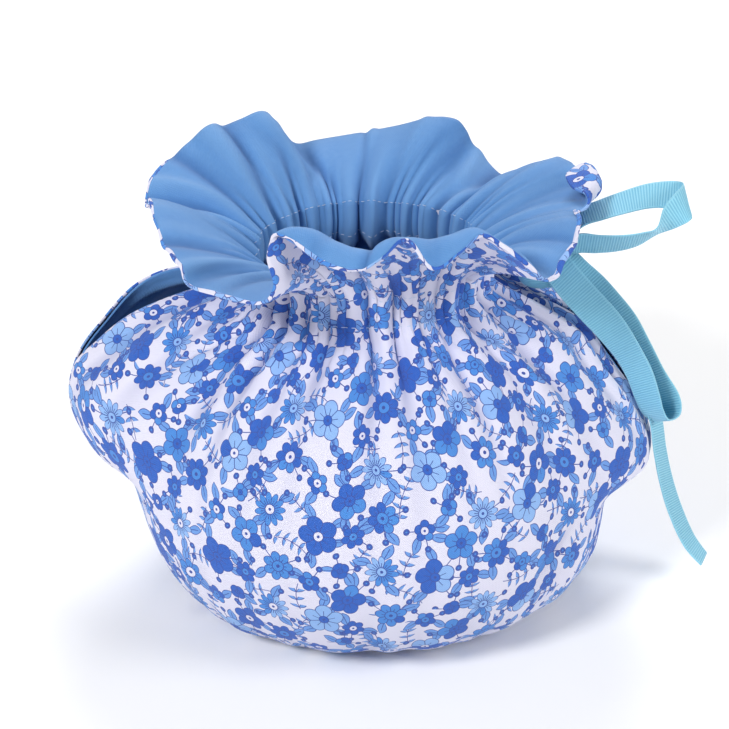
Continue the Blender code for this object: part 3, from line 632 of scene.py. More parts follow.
def raise_folds(grid, panel, share, rows, steps):
    """The panel's grid with its gathers, its named folds and its soft creases raised out of the cloth."""
    start = 0.0 if panel == "back" else 180.0
    azimuth = start + 180.0 * share
    wave = gather_wave(share)
    fine = FINE_GATHER_DEPTH * fine_gather_wave(share)
    height = []
    for level in rows:
        drawn = np.clip((level - FINE_FROM_LEVEL) / (TOP_LEVEL - 1 - FINE_FROM_LEVEL), 0, 1)
        folds = fold_height(FOLDS, azimuth, level) + fold_height(CREASES, azimuth, level)
        lying = np.clip(level - 1, 0, 1)
        height.append(level_value(GATHER_COLUMN, level) * wave + drawn**2 * fine + lying * folds)
    top = level_value(GATHER_COLUMN, TOP_LEVEL) * wave
    for step in steps:
        height.append(top * (1 - step) ** GATHER_FADE + fine * (1 - step) ** FINE_GATHER_FADE)
    height = np.stack(height)
    height[: len(rows)][rows <= 1] = 0.0
    step = np.array(steps)[:, None]
    for _, at_casing, at_edge, reach, depth, from_step, to_step in FRILL_CREASES:
        off = around(azimuth, at_casing + step * (at_edge - at_casing))
        along = hump(2 * (step - from_step) / (to_step - from_step) - 1)
        height[len(rows) :] += depth * np.exp(-((off / reach) ** 2)) * along * np.clip(step / 0.1, 0, 1)
    raised = grid + height[..., None] * grid_normals(grid)
    raised[..., 2] = np.maximum(raised[..., 2], 0.0)
    return raised, height - levelled(height, RELIEF_COLUMNS)


def levelled(numbers, reach):
    """Each row of numbers averaged over the columns within reach."""
    wide = np.pad(numbers, ((0, 0), (reach, reach)), mode="edge")
    window = np.ones(2 * reach + 1) / (2 * reach + 1)
    return np.stack([np.convolve(line, window, mode="valid") for line in wide])


def seam_normals(panels, normals):
    """Where the two panels are sewn together they share one normal, so that neither enters the other."""
    for front_side, back_side in ((0, -1), (-1, 0)):
        front = normals["front"][:, front_side]
        back = normals["back"][:, back_side]
        apart = np.linalg.norm(panels["front"][:, front_side] - panels["back"][:, back_side], axis=-1)
        sewn = np.exp(-((apart / SEAM_REACH) ** 2))[:, None]
        shared = unit(front + back)
        normals["front"][:, front_side] = unit(sewn * shared + (1 - sewn) * front)
        normals["back"][:, back_side] = unit(sewn * shared + (1 - sewn) * back)


def make_panels():
    """Each panel's folded surface, its normals, and how far each place stands out of its surroundings."""
    share = np.linspace(0, 1, COLUMNS + 1)
    rows = np.linspace(0, TOP_LEVEL, TOP_LEVEL * ROWS_PER_LEVEL + 1)
    steps = np.linspace(0, ROLL_FROM, FRILL_ROWS + 1)[1:]
    panels, reliefs = {}, {}
    for panel in ("front", "back"):
        grid = smooth_panel(panel, share, rows, steps)
        panels[panel], reliefs[panel] = raise_folds(grid, panel, share, rows, steps)
    normals = {panel: grid_normals(grid) for panel, grid in panels.items()}
    seam_normals(panels, normals)
    lying = hump(np.clip(rows - 1, 0, 1))[:, None, None]
    for normal in normals.values():
        sole = lying * np.array([0.0, 0.0, -1.0]) + (1 - lying) * normal[: len(rows)]
        normal[: len(rows)] = unit(sole)
    return panels, normals, reliefs


def cloth_place(grid, relief):
    """Each point on the flat cloth: millimetres across the panel, up from the casing, and its relief."""
    step = levelled(np.linalg.norm(np.diff(grid, axis=0), axis=-1), LEVELLED_COLUMNS)
    up = np.concatenate([np.zeros((1, grid.shape[1])), np.cumsum(step, axis=0)])
    casing = TOP_LEVEL * ROWS_PER_LEVEL
    up = up - up[casing]
    across = np.broadcast_to(np.linspace(0, PANEL_WIDTH, grid.shape[1]), up.shape)
    relief = np.pad(relief, ((0, len(grid) - len(relief)), (0, 0)))
    return np.stack([across, up, relief], -1)


def edge_press(row_count):
    """How thick the two cloths lie at each row: full on the body, pressed thin at the frill's edge."""
    step = np.linspace(0, ROLL_FROM, FRILL_ROWS + 1)[1:]
    pressed = hump(1 - np.clip((step - PRESSED_FROM) / (ROLL_FROM - PRESSED_FROM), 0, 1))
    thick = np.concatenate([np.ones(row_count - FRILL_ROWS), 1 - (1 - PRESSED_SHARE) * pressed])
    return thick[:, None, None]


def rolled_rim(panel, grid, normals):
    """The rows by which the printed cloth turns over the frill's edge onto the lining, both faces."""
    share = np.linspace(0, 1, grid.shape[1])
    start, table = (0.0, BACK_ROLL) if panel == "back" else (180.0, FRONT_ROLL)
    places, shares = np.array(table).T
    shown = np.interp(start + 180.0 * share, places, shares)
    shown = (shown * (1 + ROLL_UNEVEN * np.sin(ROLL_WAVES * TURN * share + start)))[:, None]
    outward = unit(grid[-1] - grid[-2])
    normal = normals[-1]
    top, top_inside = PRESSED_SHARE * OUTER_FACE, PRESSED_SHARE * OUTER_INNER_FACE
    under = PRESSED_SHARE * LINING_FACE + ROLL_UNDER - (ROLL_UNDER + ROLL_UNDER_SHOWN) * shown
    out = ROLL_OUT + ROLL_OUT_SHOWN * shown
    outside, inside = [], []
    for turn in np.linspace(0, math.pi, ROLL_ROWS + 1)[1:]:
        over = 0.5 - 0.5 * math.cos(turn)
        forward = math.sin(turn) * outward
        outside.append(grid[-1] + (top + over * (under - top)) * normal + out * forward)
        lower = top_inside + over * (under + ROLL_CLOTH - top_inside)
        inside.append(grid[-1] + lower * normal + 0.3 * out * forward)
    for back in np.linspace(0, 1, ROLL_RETURN_ROWS + 1)[1:]:
        place = grid[-1] - back * (ROLL_RETURN + ROLL_RETURN_SHOWN * shown) * outward
        outside.append(place + (under + ROLL_TUCK * back**2) * normal)
        inside.append(place + (under + ROLL_CLOTH) * normal)
    return np.stack(outside), np.stack(inside)


def to_world(points):
    return (points + np.array([NECK_X, 0.0, SOLE_HEIGHT])) * MM


def make_mesh(name, points, faces, places):
    """A smooth mesh from points in millimetres, which keeps each point's place on the flat cloth."""
    mesh = bpy.data.meshes.new(name)
    mesh.from_pydata(to_world(points).tolist(), [], faces.tolist())
    mesh.update()
    mesh.shade_smooth()
    place = mesh.attributes.new("cloth_place", "FLOAT_VECTOR", "POINT")
    place.data.foreach_set("vector", places.astype(np.float32).ravel())
    made = bpy.data.objects.new(name, mesh)
    bpy.context.scene.collection.objects.link(made)
    return made


def grid_quads(rows, columns, offset=0, turned=False):
    index = np.arange(rows * columns).reshape(rows, columns) + offset
    quads = np.stack([index[:-1, :-1], index[:-1, 1:], index[1:, 1:], index[1:, :-1]], -1).reshape(-1, 4)
    return quads[:, ::-1] if turned else quads


def closed_sheet(name, outside, inside, places):
    """One closed sheet between two grids of the same shape."""
    faces = sheet_faces(*outside.shape[:2], 0)
    points = np.concatenate([outside.reshape(-1, 3), inside.reshape(-1, 3)])
    return make_mesh(name, points, faces, np.concatenate([places.reshape(-1, 3)] * 2))


def outer_panel(panel, grid, normals, relief):
    """The printed cloth of a panel, turned over the frill's edge."""
    rim_outside, rim_inside = rolled_rim(panel, grid, normals)
    thick = edge_press(len(grid))
    outside = np.concatenate([grid + OUTER_FACE * thick * normals, rim_outside])
    inside = np.concatenate([grid + OUTER_INNER_FACE * thick * normals, rim_inside])
    outside[..., 2] = np.maximum(outside[..., 2], -SOLE_HEIGHT)
    return closed_sheet("printed_" + panel, outside, inside, cloth_place(outside, relief))


def lining_panel(panel, grid, normals, relief):
    """The plain cloth of a panel, which ends under the rolled edge."""
    thick = edge_press(len(grid))
    outside = grid + LINING_INNER_FACE * thick * normals
    inside = grid + LINING_FACE * thick * normals
    return closed_sheet("lining_cloth_" + panel, outside, inside, cloth_place(grid, relief))


def stitch_run(line, normal):
    """The dashes of thread along a line of the cloth: points and faces."""
    length = np.concatenate([[0], np.cumsum(np.linalg.norm(np.diff(line, axis=0), axis=1))])
    points, faces = [], []
    ring_turns = np.arange(STITCH_SIDES) * TURN / STITCH_SIDES
    for start in np.arange(STITCH_PITCH, length[-1] - STITCH_PITCH, STITCH_PITCH):
        first = len(points) * STITCH_SIDES
        for share, size in STITCH_RINGS:
            place = start + STITCH_UNEVEN * math.sin(7.3 * start) + share * STITCH_LENGTH
            centre = np.array([np.interp(place, length, line[:, k]) for k in range(3)])
            ahead = np.array([np.interp(place + 0.3, length, line[:, k]) for k in range(3)])
            out = unit(np.array([np.interp(place, length, normal[:, k]) for k in range(3)]))
            side = unit(np.cross(unit(ahead - centre), out))
            ring = np.cos(ring_turns)[:, None] * side + np.sin(ring_turns)[:, None] * out
            points.append(centre + STITCH_RADIUS * (size * ring + (size - 1) * out))
        faces.append(wrapped_quads(len(STITCH_RINGS), STITCH_SIDES, first))
    return np.concatenate(points), np.concatenate(faces)


def wrapped_quads(rings, sides, offset):
    """The faces of a tube of rings, its ends drawn in to points by their own small rings."""
    index = np.arange(rings * sides).reshape(rings, sides) + offset
    after = np.roll(index, -1, axis=1)
    return np.stack([index[:-1], after[:-1], after[1:], index[1:]], -1).reshape(-1, 4)


def make_stitches(panels, normals):
    """All the casing's stitch lines as one piece of white thread."""
    points, faces, count = [], [], 0
    for _, level, face in STITCH_LINES:
        row = int(round(level * ROWS_PER_LEVEL))
        offset = LINING_FACE - STITCH_LIFT if face == "lining" else OUTER_FACE + STITCH_LIFT
        for panel in ("front", "back"):
            normal = normals[panel][row]
            line = panels[panel][row] + offset * normal
            run_points, run_faces = stitch_run(line, normal if face == "outer" else -normal)
            points.append(run_points)
            faces.append(run_faces + count)
            count += len(run_points)
    points = np.concatenate(points)
    return make_mesh("casing_stitches", points, np.concatenate(faces), points)


def ribbon_strip(rows, start_length):
    """A length of ribbon with its cross ribs: two grids, and each point's place on the flat ribbon."""
    numbers = np.array(rows)
    coarse_place = np.linspace(0, len(rows) - 1, (len(rows) - 1) * 40 + 1)
    coarse = np.stack([catmull_rom(numbers[:, k], coarse_place) for k in range(6)], -1)
    length = np.linalg.norm(np.diff(coarse[:, :3], axis=0), axis=1)
    length = np.concatenate([[0], np.cumsum(length)])
    samples = int(length[-1] / RIB_PITCH * SAMPLES_PER_RIB)
    even = np.linspace(0, length[-1], samples)
    fine = np.stack([np.interp(even, length, coarse[:, k]) for k in range(6)], -1)
    width = unit(fine[:, 3:])
    ahead = unit(np.gradient(fine[:, :3], axis=0))
    normal = unit(np.cross(ahead, width))
    across = RIBBON_ACROSS
    middle = fine[:, None, :3] + across[None, :, None] * width[:, None]
    inner = np.clip((RIBBON_WIDTH / 2 - np.abs(across)) / SELVEDGE, 0, 1)
    rib = RIB_HEIGHT * (0.5 + 0.5 * np.cos(TURN * even / RIB_PITCH))[:, None] * (inner > 0.5)
    half = RIBBON_THICK / 2 + rib - RIB_HEIGHT / 2
    outside = middle + half[..., None] * normal[:, None]
    inside = middle - half[..., None] * normal[:, None]
    places = np.stack(np.broadcast_arrays(across[None, :], even[:, None] + start_length, 0.0), -1)
    return outside, inside, places, length[-1]


def sheet_faces(rows, columns, offset):
    """The faces of a closed sheet whose two grids follow one another."""
    count = rows * columns
    index = np.arange(count).reshape(rows, columns)
    rim = np.concatenate([index[0], index[1:, -1], index[-1, -2::-1], index[-2:0:-1, 0]])
    after = np.roll(rim, -1)
    edge = np.stack([rim, rim + count, after + count, after], -1)
    return offset + np.concatenate(
        [grid_quads(rows, columns), grid_quads(rows, columns, count, turned=True), edge]
    )


def knot_wrap():
    """The turn of ribbon round the knot, puffed in the middle and drawn in at its two sides."""
    turn = np.linspace(0, TURN, KNOT_TURN_STEPS, endpoint=False)[:, None]
    side = np.linspace(-1, 1, KNOT_SIDE_STEPS)[None, :]
    puff = (1 - np.abs(side) ** KNOT_SQUARENESS) ** (1 / KNOT_SQUARENESS)
    line = np.exp(-((side - KNOT_CREASE_PLACE) / KNOT_CREASE_REACH) ** 2)
    crease = 1 + KNOT_RIPPLE * np.sin(3 * turn + 2.2 * side) - KNOT_CREASE * line
    rib = RIB_HEIGHT / KNOT_SIZE[1] * np.cos(round(TURN * KNOT_SIZE[1] / RIB_PITCH) * turn)
    radius = np.maximum(puff * (crease + rib), KNOT_LEAST)
    points = np.stack(
        [
            KNOT_CENTRE[0] + KNOT_SIZE[0] * side + 0 * turn,
            KNOT_CENTRE[1] + KNOT_SIZE[1] * radius * np.cos(turn),
            KNOT_CENTRE[2] + KNOT_SIZE[2] * radius * np.sin(turn),
        ],
        -1,
    )
    places = np.stack(
        np.broadcast_arrays(side * RIBBON_WIDTH / 2, turn * KNOT_SIZE[1], 0.0), -1
    )
    return points, places


def make_ribbon():
    """The bow as one piece: its loops, its tail, its two ends from the casing, and the knot."""
    points, faces, places, count, run_length = [], [], [], 0, 0.0
    for rows in RIBBON_RUNS:
        outside, inside, place, length = ribbon_strip(rows, run_length)
        points += [outside.reshape(-1, 3), inside.reshape(-1, 3)]
        places += [place.reshape(-1, 3)] * 2
        faces.append(sheet_faces(outside.shape[0], outside.shape[1], count))
        count += 2 * outside.shape[0] * outside.shape[1]
        run_length += length
    knot, knot_places = knot_wrap()
    index = np.arange(knot.shape[0] * knot.shape[1]).reshape(knot.shape[:2]) + count
    after = np.roll(index, -1, axis=0)
    wrap = np.stack([index[:, :-1], index[:, 1:], after[:, 1:], after[:, :-1]], -1)
    faces.append(wrap.reshape(-1, 4)[:, ::-1])
    points.append(knot.reshape(-1, 3))
    places.append(knot_places.reshape(-1, 3))
    parts = (np.concatenate(lists) for lists in (points, faces, places))
    return make_mesh("ribbon_bow", *parts)


class Value:
    """A socket of a material's nodes. Operators on it add Math nodes."""

    def __init__(self, tree, socket):
        self.tree = tree
        self.socket = socket

    def node(self, kind, settings, inputs, output=0):
        """A new node: its settings, then the numbers or links of its sockets."""
        made = self.tree.nodes.new(kind)
        for name, setting in settings.items():
            setattr(made, name, setting)
        for key, value in inputs.items():
            if isinstance(value, Value):
                self.tree.links.new(value.socket, made.inputs[key])
            else:
                made.inputs[key].default_value = value
        return Value(self.tree, made.outputs[output])

    def math(self, operation, *values):
        return self.node("ShaderNodeMath", {"operation": operation}, dict(enumerate(values)))

    def __add__(self, other):
        return self.math("ADD", self, other)

    def __radd__(self, other):
        return self.math("ADD", other, self)

    def __sub__(self, other):
        return self.math("SUBTRACT", self, other)

    def __rsub__(self, other):
        return self.math("SUBTRACT", other, self)

    def __mul__(self, other):
        return self.math("MULTIPLY", self, other)

    def __rmul__(self, other):
        return self.math("MULTIPLY", other, self)

    def __truediv__(self, other):
        return self.math("DIVIDE", self, other)

    def __rtruediv__(self, other):
        return self.math("DIVIDE", other, self)

    def __lt__(self, other):
        return self.math("LESS_THAN", self, other)

    def __gt__(self, other):
        return self.math("GREATER_THAN", self, other)

    def sin(self):
        return self.math("SINE", self)

    def cos(self):
        return self.math("COSINE", self)

    def abs(self):
        return self.math("ABSOLUTE", self)

    def round(self):
        return self.math("ROUND", self)

    def root(self):
        return self.math("SQRT", self)

    def least(self, other):
        return self.math("MINIMUM", self, other)

    def most(self, other):
        return self.math("MAXIMUM", self, other)

    def part(self):
        """What is left over a whole number, also below zero."""
        return self.math("FLOORED_MODULO", self, 1.0)

    def parts(self):
        """The three parts of a colour or a vector."""
        return [self.node("ShaderNodeSeparateXYZ", {}, {0: self}, k) for k in range(3)]


def painted(under, over, mask):
    """A colour with another laid over it where the mask is one."""
    source = mask if isinstance(mask, Value) else over
    settings = {"data_type": "RGBA", "blend_type": "MIX"}
    return source.node("ShaderNodeMix", settings, {0: mask, 6: under, 7: over}, 2)


def eye_colour(red, green, blue):
    """A colour as a screen shows it, 0 to 255, as the light values that a shader takes."""
    shares = [value / 255 for value in (red, green, blue)]
    return tuple(s / 12.92 if s <= 0.04045 else ((s + 0.055) / 1.055) ** 2.4 for s in shares) + (1.0,)


COTTON_GROUND = eye_colour(220, 219, 237)
ROYAL = eye_colour(8, 88, 186)
MID_BLUE = eye_colour(58, 132, 212)
SOFT_BLUE = eye_colour(136, 178, 232)
INK = eye_colour(34, 66, 152)
BERRY = eye_colour(40, 82, 172)
LEAF = eye_colour(98, 150, 220)
# Painted shade for the valleys of the printed cloth's folds.
PAINTED_PRINT_SHADE = eye_colour(70, 92, 164)
LINING_BLUE = eye_colour(88, 140, 200)
# A paler tone of the lining for its weave and slubs, which is also painted as highlight on the ridges of
# its folds.
LINING_PALE_AND_HIGHLIGHT = eye_colour(112, 158, 210)
# Painted shade for the valleys of the lining's folds.
PAINTED_LINING_SHADE = eye_colour(36, 84, 150)
RIBBON_BLUE = eye_colour(148, 210, 230)
THREAD_WHITE = eye_colour(200, 214, 234)
FLOOR_WHITE = eye_colour(250, 250, 250)

# The print's repeat, in millimetres. Each next column of it starts half a repeat lower.
PRINT_SCALE = 1.1
REPEAT_WIDTH = 36.0
REPEAT_HEIGHT = 34.0
PLACE_JITTER = 3.0
INK_LINE = 0.28

# A row is a flower of the repeat: place across and up, radius, petals, how full a petal is, the two
# colours its petals take, the size of its middle, and the share of leaves that grow round it.
FLOWERS = (
    ("wide_open", 7.0, 7.0, 6.7, 5.0, 0.46, ROYAL, SOFT_BLUE, 0.22, 0.50),
    ("little_royal", 19.5, 4.0, 3.9, 6.0, 0.42, ROYAL, ROYAL, 0.30, 0.36),
    ("round_mid", 29.0, 11.0, 5.3, 7.0, 0.40, MID_BLUE, ROYAL, 0.34, 0.45),
    ("five_petal", 17.0, 17.0, 6.0, 5.0, 0.47, ROYAL, MID_BLUE, 0.26, 0.52),
    ("little_mid", 5.5, 22.5, 3.7, 5.0, 0.45, MID_BLUE, ROYAL, 0.34, 0.42),
    ("daisy", 27.0, 27.0, 5.6, 11.0, 0.40, SOFT_BLUE, MID_BLUE, 0.26, 0.45),
    ("tiny", 13.0, 29.5, 3.0, 4.0, 0.46, ROYAL, MID_BLUE, 0.24, 0.34),
)
LEAF_SECTORS = 5.0
LEAF_LENGTH = 6.3
LEAF_HALF_WIDTH = 1.75
LEAF_LEAN = 0.28
LEAF_TUCKED = 1.6
LEAF_RIB_HALF = 0.13
LEAF_RIB_END = 0.72
BERRY_SECTORS = 7.0
BERRY_STEM = 1.9
BERRY_RADIUS = 1.1
BERRY_SHARE = 0.3
BERRY_OFF_STEM = 0.6
BERRY_DOT = 0.3
STEM_HALF = 0.16

# Petals: where one parts from the next, their veins, and the radii that have veins and full lines.
PETAL_FROM = 0.5
PETAL_SPREAD = 1.1
VEIN_HALF = 0.12
VEIN_TO = 0.58
VEINED_RADIUS = 5
LINED_RADIUS = 3.5
HEART_DOT = 0.34

# A row is a sprig of the repeat: place across and up, length, and the distance between its leaves.
SPRIGS = (
    ("fern_one", 35.0, 19.5, 13.0, 2.9),
    ("fern_two", 21.5, 33.0, 10.5, 2.5),
    ("fern_three", 0.5, 15.0, 10.5, 3.2),
)
SPRIG_LEAF = 2.2
SPRIG_LEAF_HALF_WIDTH = 0.85
SPRIG_LEAF_OUT = 0.62
SPRIG_LEAF_UP = 0.78
SPRIG_LEAF_START = 0.55
SPRIG_BEND = 0.035
SPRIG_STEM_HALF = 0.15
SPRIG_INK_LINE = 0.24
SPRIG_LEAFY = 0.46

WEAVE_PITCH = 0.42


def repeat_cell(across, up, place, seed):
    """A motif's own x and y in its repeat of the print, and three chance numbers of that repeat."""
    column = ((across - place[0]) / REPEAT_WIDTH).round()
    drop = 0.5 * column.math("FLOORED_MODULO", column, 2.0)
    y = (up - place[1]) / REPEAT_HEIGHT + drop
    row = y.round()
    cell = column.node("ShaderNodeCombineXYZ", {}, {0: column, 1: row, 2: seed})
    chance = column.node("ShaderNodeTexWhiteNoise", {"noise_dimensions": "3D"}, {0: cell}, 1).parts()
    x = across - place[0] - REPEAT_WIDTH * column + PLACE_JITTER * (chance[0] - 0.5)
    y = REPEAT_HEIGHT * (y - row) + PLACE_JITTER * (chance[1] - 0.5)
    return x, y, chance


def fold_round(angle, distance, count):
    """The sector of a ring of equal sectors, and x out along its middle and y across it."""
    turn = angle * (count / TURN)
    sector = turn.round()
    off = (turn - sector) * (TURN / count)
    return sector, distance * off.cos(), distance * off.sin()


def draw_leaves(colour, distance, angle, chance, radius, share):
    """Leaves with a midrib that grow out from under a flower, and berries on thin stems."""
    sector, x, y = fold_round(angle, distance, LEAF_SECTORS)
    luck = (sector * 0.371 + chance[0] * 5.3).part()
    along = (x - (radius - LEAF_TUCKED)) / LEAF_LENGTH
    y = y - (LEAF_LEAN * (x - radius)) * ((luck > share * 0.5) * 2.0 - 1.0)
    room = (4.0 * LEAF_HALF_WIDTH) * along * (1.0 - along) - y.abs()
    grows = luck < share
    colour = painted(colour, INK, (room > 0.0) * grows)
    rib = (y.abs() > LEAF_RIB_HALF).most(along > LEAF_RIB_END)
    colour = painted(colour, LEAF, (room > INK_LINE) * grows * rib)
    sector, x, y = fold_round(angle + TURN / 14, distance, BERRY_SECTORS)
    luck = (sector * 0.437 + chance[1] * 7.1).part()
    grows = luck < BERRY_SHARE
    stem = (y.abs() < STEM_HALF) * (x < radius + BERRY_STEM) * (x > 0.0)
    x_berry = x - (radius + BERRY_STEM + BERRY_OFF_STEM)
    from_berry = (x_berry * x_berry + y * y).root()
    return colour, grows, stem, from_berry


def draw_berries(colour, grows, stem, from_berry):
    colour = painted(colour, INK, stem.most(from_berry < BERRY_RADIUS) * grows)
    colour = painted(colour, BERRY, (from_berry < BERRY_RADIUS - INK_LINE) * grows)
    return painted(colour, MID_BLUE, (from_berry < BERRY_DOT) * grows)


def draw_flower(colour, distance, angle, chance, row):
    """A flower with inked petals of two colours, a ringed middle and a dot."""
    _, _, _, radius, petals, full, dark, light, middle, _ = row
    sector, x, y = fold_round(angle, distance, petals)
    reach = radius * full
    widen = full / ((1 - full) * math.tan(math.pi / petals) * PETAL_SPREAD)
    x_off = x - (radius - reach)
    edge = (x_off * x_off + (widen * widen) * y * y).root() - reach
    edge = edge.least(distance - radius * PETAL_FROM)
    two_tone = ((sector / petals + chance[2]).part() < chance[1] * 1.3 - 0.1)
    petal = painted(light, dark, two_tone)
    between = (x * math.tan(math.pi / petals) - y.abs()) * math.cos(math.pi / petals)
    veined = 1.0 if radius > VEINED_RADIUS else 0.0
    vein = (y.abs() < VEIN_HALF) * (distance < radius * VEIN_TO) * veined
    line = (between < INK_LINE * 0.5).most(vein) if radius > LINED_RADIUS else between < INK_LINE * 0.4
    colour = painted(colour, INK, edge < 0.0)
    colour = painted(colour, petal, (edge < -INK_LINE) * (1.0 - line))
    heart = radius * middle
    ring = painted(COTTON_GROUND, dark if dark != light else MID_BLUE, chance[2] > 0.34)
    colour = painted(colour, INK, distance < heart + INK_LINE)
    colour = painted(colour, ring, (distance < heart) * (distance > heart * HEART_DOT))
    return colour


def draw_sprig(colour, x, y, angle, length, pitch):
    """A bent stem with pairs of small leaves."""
    turned_x = x * angle.cos() + y * angle.sin()
    turned_y = y * angle.cos() - x * angle.sin()
    turned_y = turned_y + (SPRIG_BEND * turned_x) * turned_x
    along = turned_x / length
    on_stem = along.abs() < 0.5
    colour = painted(colour, INK, (turned_y.abs() < SPRIG_STEM_HALF) * on_stem)
    step = ((turned_x / pitch).part() - SPRIG_LEAF_START) * pitch
    away = turned_y.abs()
    out = SPRIG_LEAF_OUT * step + SPRIG_LEAF_UP * away
    side = SPRIG_LEAF_UP * step - SPRIG_LEAF_OUT * away
    share = out / (2 * SPRIG_LEAF)
    room = (4.0 * SPRIG_LEAF_HALF_WIDTH) * share * (1.0 - share) - side.abs()
    leafy = ((turned_x / pitch).round() * pitch / length).abs() < SPRIG_LEAFY
    colour = painted(colour, INK, (room > 0.0) * leafy)
    return painted(colour, LEAF, (room > SPRIG_INK_LINE) * leafy)


def print_colour(across, up):
    """The cotton's flower print at a place on the flat cloth, in millimetres."""
    across, up = across / PRINT_SCALE, up / PRINT_SCALE
    colour = COTTON_GROUND
    for seed, (_, x, y, length, pitch) in enumerate(SPRIGS):
        x, y, chance = repeat_cell(across, up, (x, y), 40.0 + seed)
        colour = draw_sprig(colour, x, y, TURN * chance[2], length, pitch)
    flowers, berries = [], []
    for seed, row in enumerate(FLOWERS):
        x, y, chance = repeat_cell(across, up, row[1:3], 7.0 + seed)
        distance = (x * x + y * y).root()
        angle = y.math("ARCTAN2", y, x) + TURN * chance[2]
        flowers.append((distance, angle, chance, row))
        colour, *berry = draw_leaves(colour, distance, angle, chance, row[3], row[9])
        berries.append(berry)
    for berry in berries:
        colour = draw_berries(colour, *berry)
    for distance, angle, chance, row in flowers:
        colour = draw_flower(colour, distance, angle, chance, row)
    return colour


def start_material(name, roughness, sheen):
    """A cloth material with its constants on the shader, and the cloth's place as two values."""
    material = bpy.data.materials.new(name)
    material.use_nodes = True
    shader = material.node_tree.nodes["Principled BSDF"]
    shader.inputs["Roughness"].default_value = roughness
    shader.inputs["Sheen Weight"].default_value = sheen
    shader.inputs["Sheen Roughness"].default_value = 0.5
    shader.inputs["Specular IOR Level"].default_value = 0.2
    start = Value(material.node_tree, None)
    place = start.node("ShaderNodeAttribute", {"attribute_name": "cloth_place"}, {}, 1)
    return material, shader, place


def finish_material(shader, colour, height, distance, roughness=None):
    tree = colour.tree
    tree.links.new(colour.socket, shader.inputs["Base Color"])
    bump = height.node("ShaderNodeBump", {}, {"Height": height, "Distance": distance, "Strength": 1.0})
    tree.links.new(bump.socket, shader.inputs["Normal"])
    if roughness is not None:
        tree.links.new(roughness.socket, shader.inputs["Roughness"])


def plain_weave(across, up, pitch):
    """The height of a plain weave's threads, from 0 to 1."""
    warp = (across * (math.pi / pitch)).sin()
    weft = (up * (math.pi / pitch)).sin()
    return 0.5 + 0.5 * (warp * weft)


def cloth_noise(place, scale, detail):
    settings = {"noise_dimensions": "3D"}
    return place.node("ShaderNodeTexNoise", settings, {"Vector": place, "Scale": scale, "Detail": detail})


def printed_cotton():
    material, shader, place = start_material("printed_cotton", 0.86, 0.12)
    across, up, relief = place.parts()
    threads = plain_weave(across, up, WEAVE_PITCH)
    uneven = cloth_noise(place, 0.9, 2.0)
    colour = print_colour(across, up)
    faded = 0.06 * uneven + 0.04 * threads
    colour = painted(colour, COTTON_GROUND, faded)
    # Painted shade: the print is darkened where the cloth lies lower than its surroundings, in the
    # valleys of its folds and gathers.
    colour = painted(colour, PAINTED_PRINT_SHADE, (-0.22 * relief).most(0.0).least(0.4))
    finish_material(shader, colour, threads + 0.8 * uneven, 0.00012)
    return material


def plain_cotton():
    material, shader, place = start_material("plain_cotton", 0.84, 0.15)
    across, up, relief = place.parts()
    threads = plain_weave(across, up, WEAVE_PITCH)
    slub = cloth_noise(place, 0.35, 3.0)
    colour = painted(LINING_BLUE, LINING_PALE_AND_HIGHLIGHT, 0.35 * threads + 0.5 * slub - 0.2)
    # Painted highlight: the lining is lightened where its folds stand out on its own side, at their
    # ridges.
    colour = painted(colour, LINING_PALE_AND_HIGHLIGHT, (-0.35 * relief).most(0.0).least(0.6))
    # Painted shade: the lining is darkened in the valleys of its folds, as seen from its own side.
    colour = painted(colour, PAINTED_LINING_SHADE, (0.3 * relief).most(0.0).least(0.6))
    finish_material(shader, colour, threads + 0.8 * slub, 0.00014)
    return material


def ribbed_ribbon():
    material, shader, place = start_material("ribbed_ribbon", 0.5, 0.25)
    across, along, _ = place.parts()
    ribs = 0.5 + 0.5 * (along * (TURN / RIB_PITCH)).cos()
    edge = across.abs() > RIBBON_WIDTH / 2 - SELVEDGE
    threads = (across * (TURN / 0.32)).sin()
    # Painted shade: the ribbon is darker in the grooves between its cross ribs, and light on their tops
    # and on the flat selvedges.
    rib_groove_shade = eye_colour(78, 160, 198)
    colour = painted(rib_groove_shade, RIBBON_BLUE, (0.35 + 0.65 * ribs).most(edge * 0.8))
    finish_material(shader, colour, 0.2 * threads, 0.0001, 0.46 + 0.16 * (1.0 - ribs))
    return material


def cotton_thread():
    material, shader, place = start_material("cotton_thread", 0.6, 0.1)
    along, _, up = place.parts()
    twist = ((along + up) * (TURN / 0.5)).sin()
    colour = painted(THREAD_WHITE, eye_colour(176, 196, 226), 0.3 + 0.3 * twist)
    finish_material(shader, colour, twist, 0.00004)
    return material


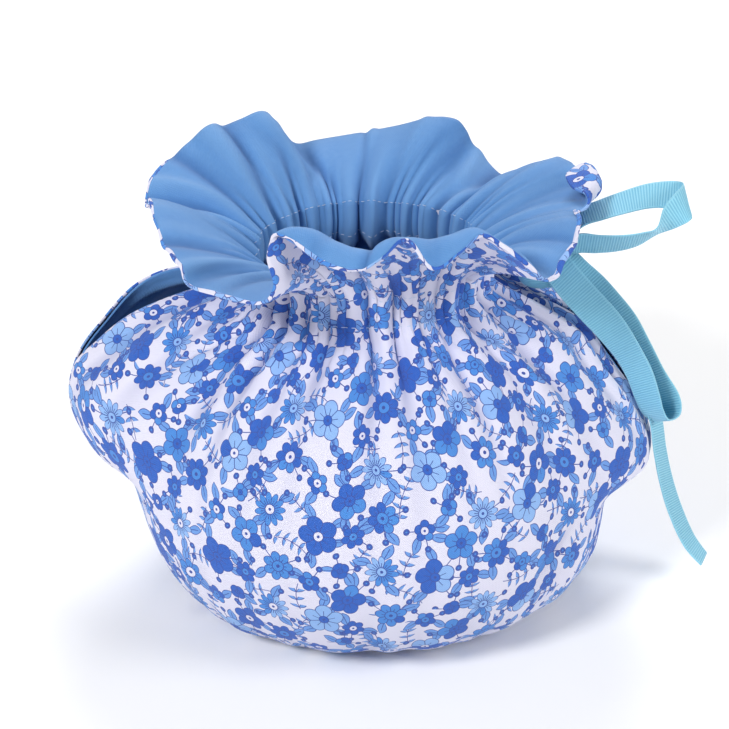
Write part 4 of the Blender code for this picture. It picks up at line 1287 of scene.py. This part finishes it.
def plain_floor():
    """A pale floor, well past what the camera sees."""
    mesh = bpy.data.meshes.new("floor")
    half = FLOOR_HALF
    corners = [(-half, -half, 0.0), (half, -half, 0.0), (half, half, 0.0), (-half, half, 0.0)]
    mesh.from_pydata(corners, [], [(0, 1, 2, 3)])
    floor = bpy.data.objects.new("floor", mesh)
    floor.location.z = cad_low.z
    bpy.context.scene.collection.objects.link(floor)
    material = bpy.data.materials.new("pale_floor")
    material.use_nodes = True
    shader = material.node_tree.nodes["Principled BSDF"]
    shader.inputs["Base Color"].default_value = FLOOR_WHITE
    shader.inputs["Roughness"].default_value = 0.9
    shader.inputs["Specular IOR Level"].default_value = 0.1
    mesh.materials.append(material)


def soft_light(name, location, aim, size, power):
    light = bpy.data.lights.new(name, "AREA")
    light.shape = "DISK"
    light.size = size
    light.energy = power
    lamp = bpy.data.objects.new(name, light)
    lamp.location = location
    lamp.rotation_euler = (aim - lamp.location).to_track_quat("-Z", "Y").to_euler()
    bpy.context.scene.collection.objects.link(lamp)


def light_room():
    """A white room with a lamp at the front left and weaker ones on the right and behind."""
    world = bpy.data.worlds.new("white_room")
    world.use_nodes = True
    sky = world.node_tree.nodes["Background"]
    sky.inputs["Color"].default_value = (1.0, 1.0, 1.0, 1.0)
    sky.inputs["Strength"].default_value = ROOM_STRENGTH
    bpy.context.scene.world = world
    middle = (cad_low + cad_high) / 2
    for name, x, y, z, size, power in LAMPS:
        soft_light(name, (x, y, z), middle, size, power)


def place_camera():
    camera = bpy.data.objects.new("camera", bpy.data.cameras.new("camera"))
    camera.data.sensor_width = CAMERA_SENSOR
    camera.data.lens = CAMERA_LENS
    camera.location = [value * MM for value in CAMERA_PLACE]
    camera.rotation_euler = (math.radians(CAMERA_TILT), 0.0, 0.0)
    bpy.context.scene.collection.objects.link(camera)
    bpy.context.scene.camera = camera


def dress(piece, material, slot, *nodes):
    """Gives a piece its material and the body it rides on, and hides the parts of the model that it
    stands for.
    """
    piece.data.materials.append(material)
    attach(piece, "root")
    if nodes:
        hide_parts(*nodes)
    return piece


place_camera()
plain_floor()
light_room()
panels, normals, reliefs = make_panels()
cotton, lining = printed_cotton(), plain_cotton()
for panel in ("front", "back"):
    surface = panel, panels[panel], normals[panel], reliefs[panel]
    outer = dress(outer_panel(*surface), cotton, "printed_cotton", "outer_" + panel)
    inner = dress(lining_panel(*surface), lining, "plain_cotton", "lining_" + panel)
dress(make_stitches(panels, normals), cotton_thread(), None)
ribbon = dress(make_ribbon(), ribbed_ribbon(), "ribbon", "ribbon_tie")

bpy.context.scene.view_settings.view_transform = "Standard"
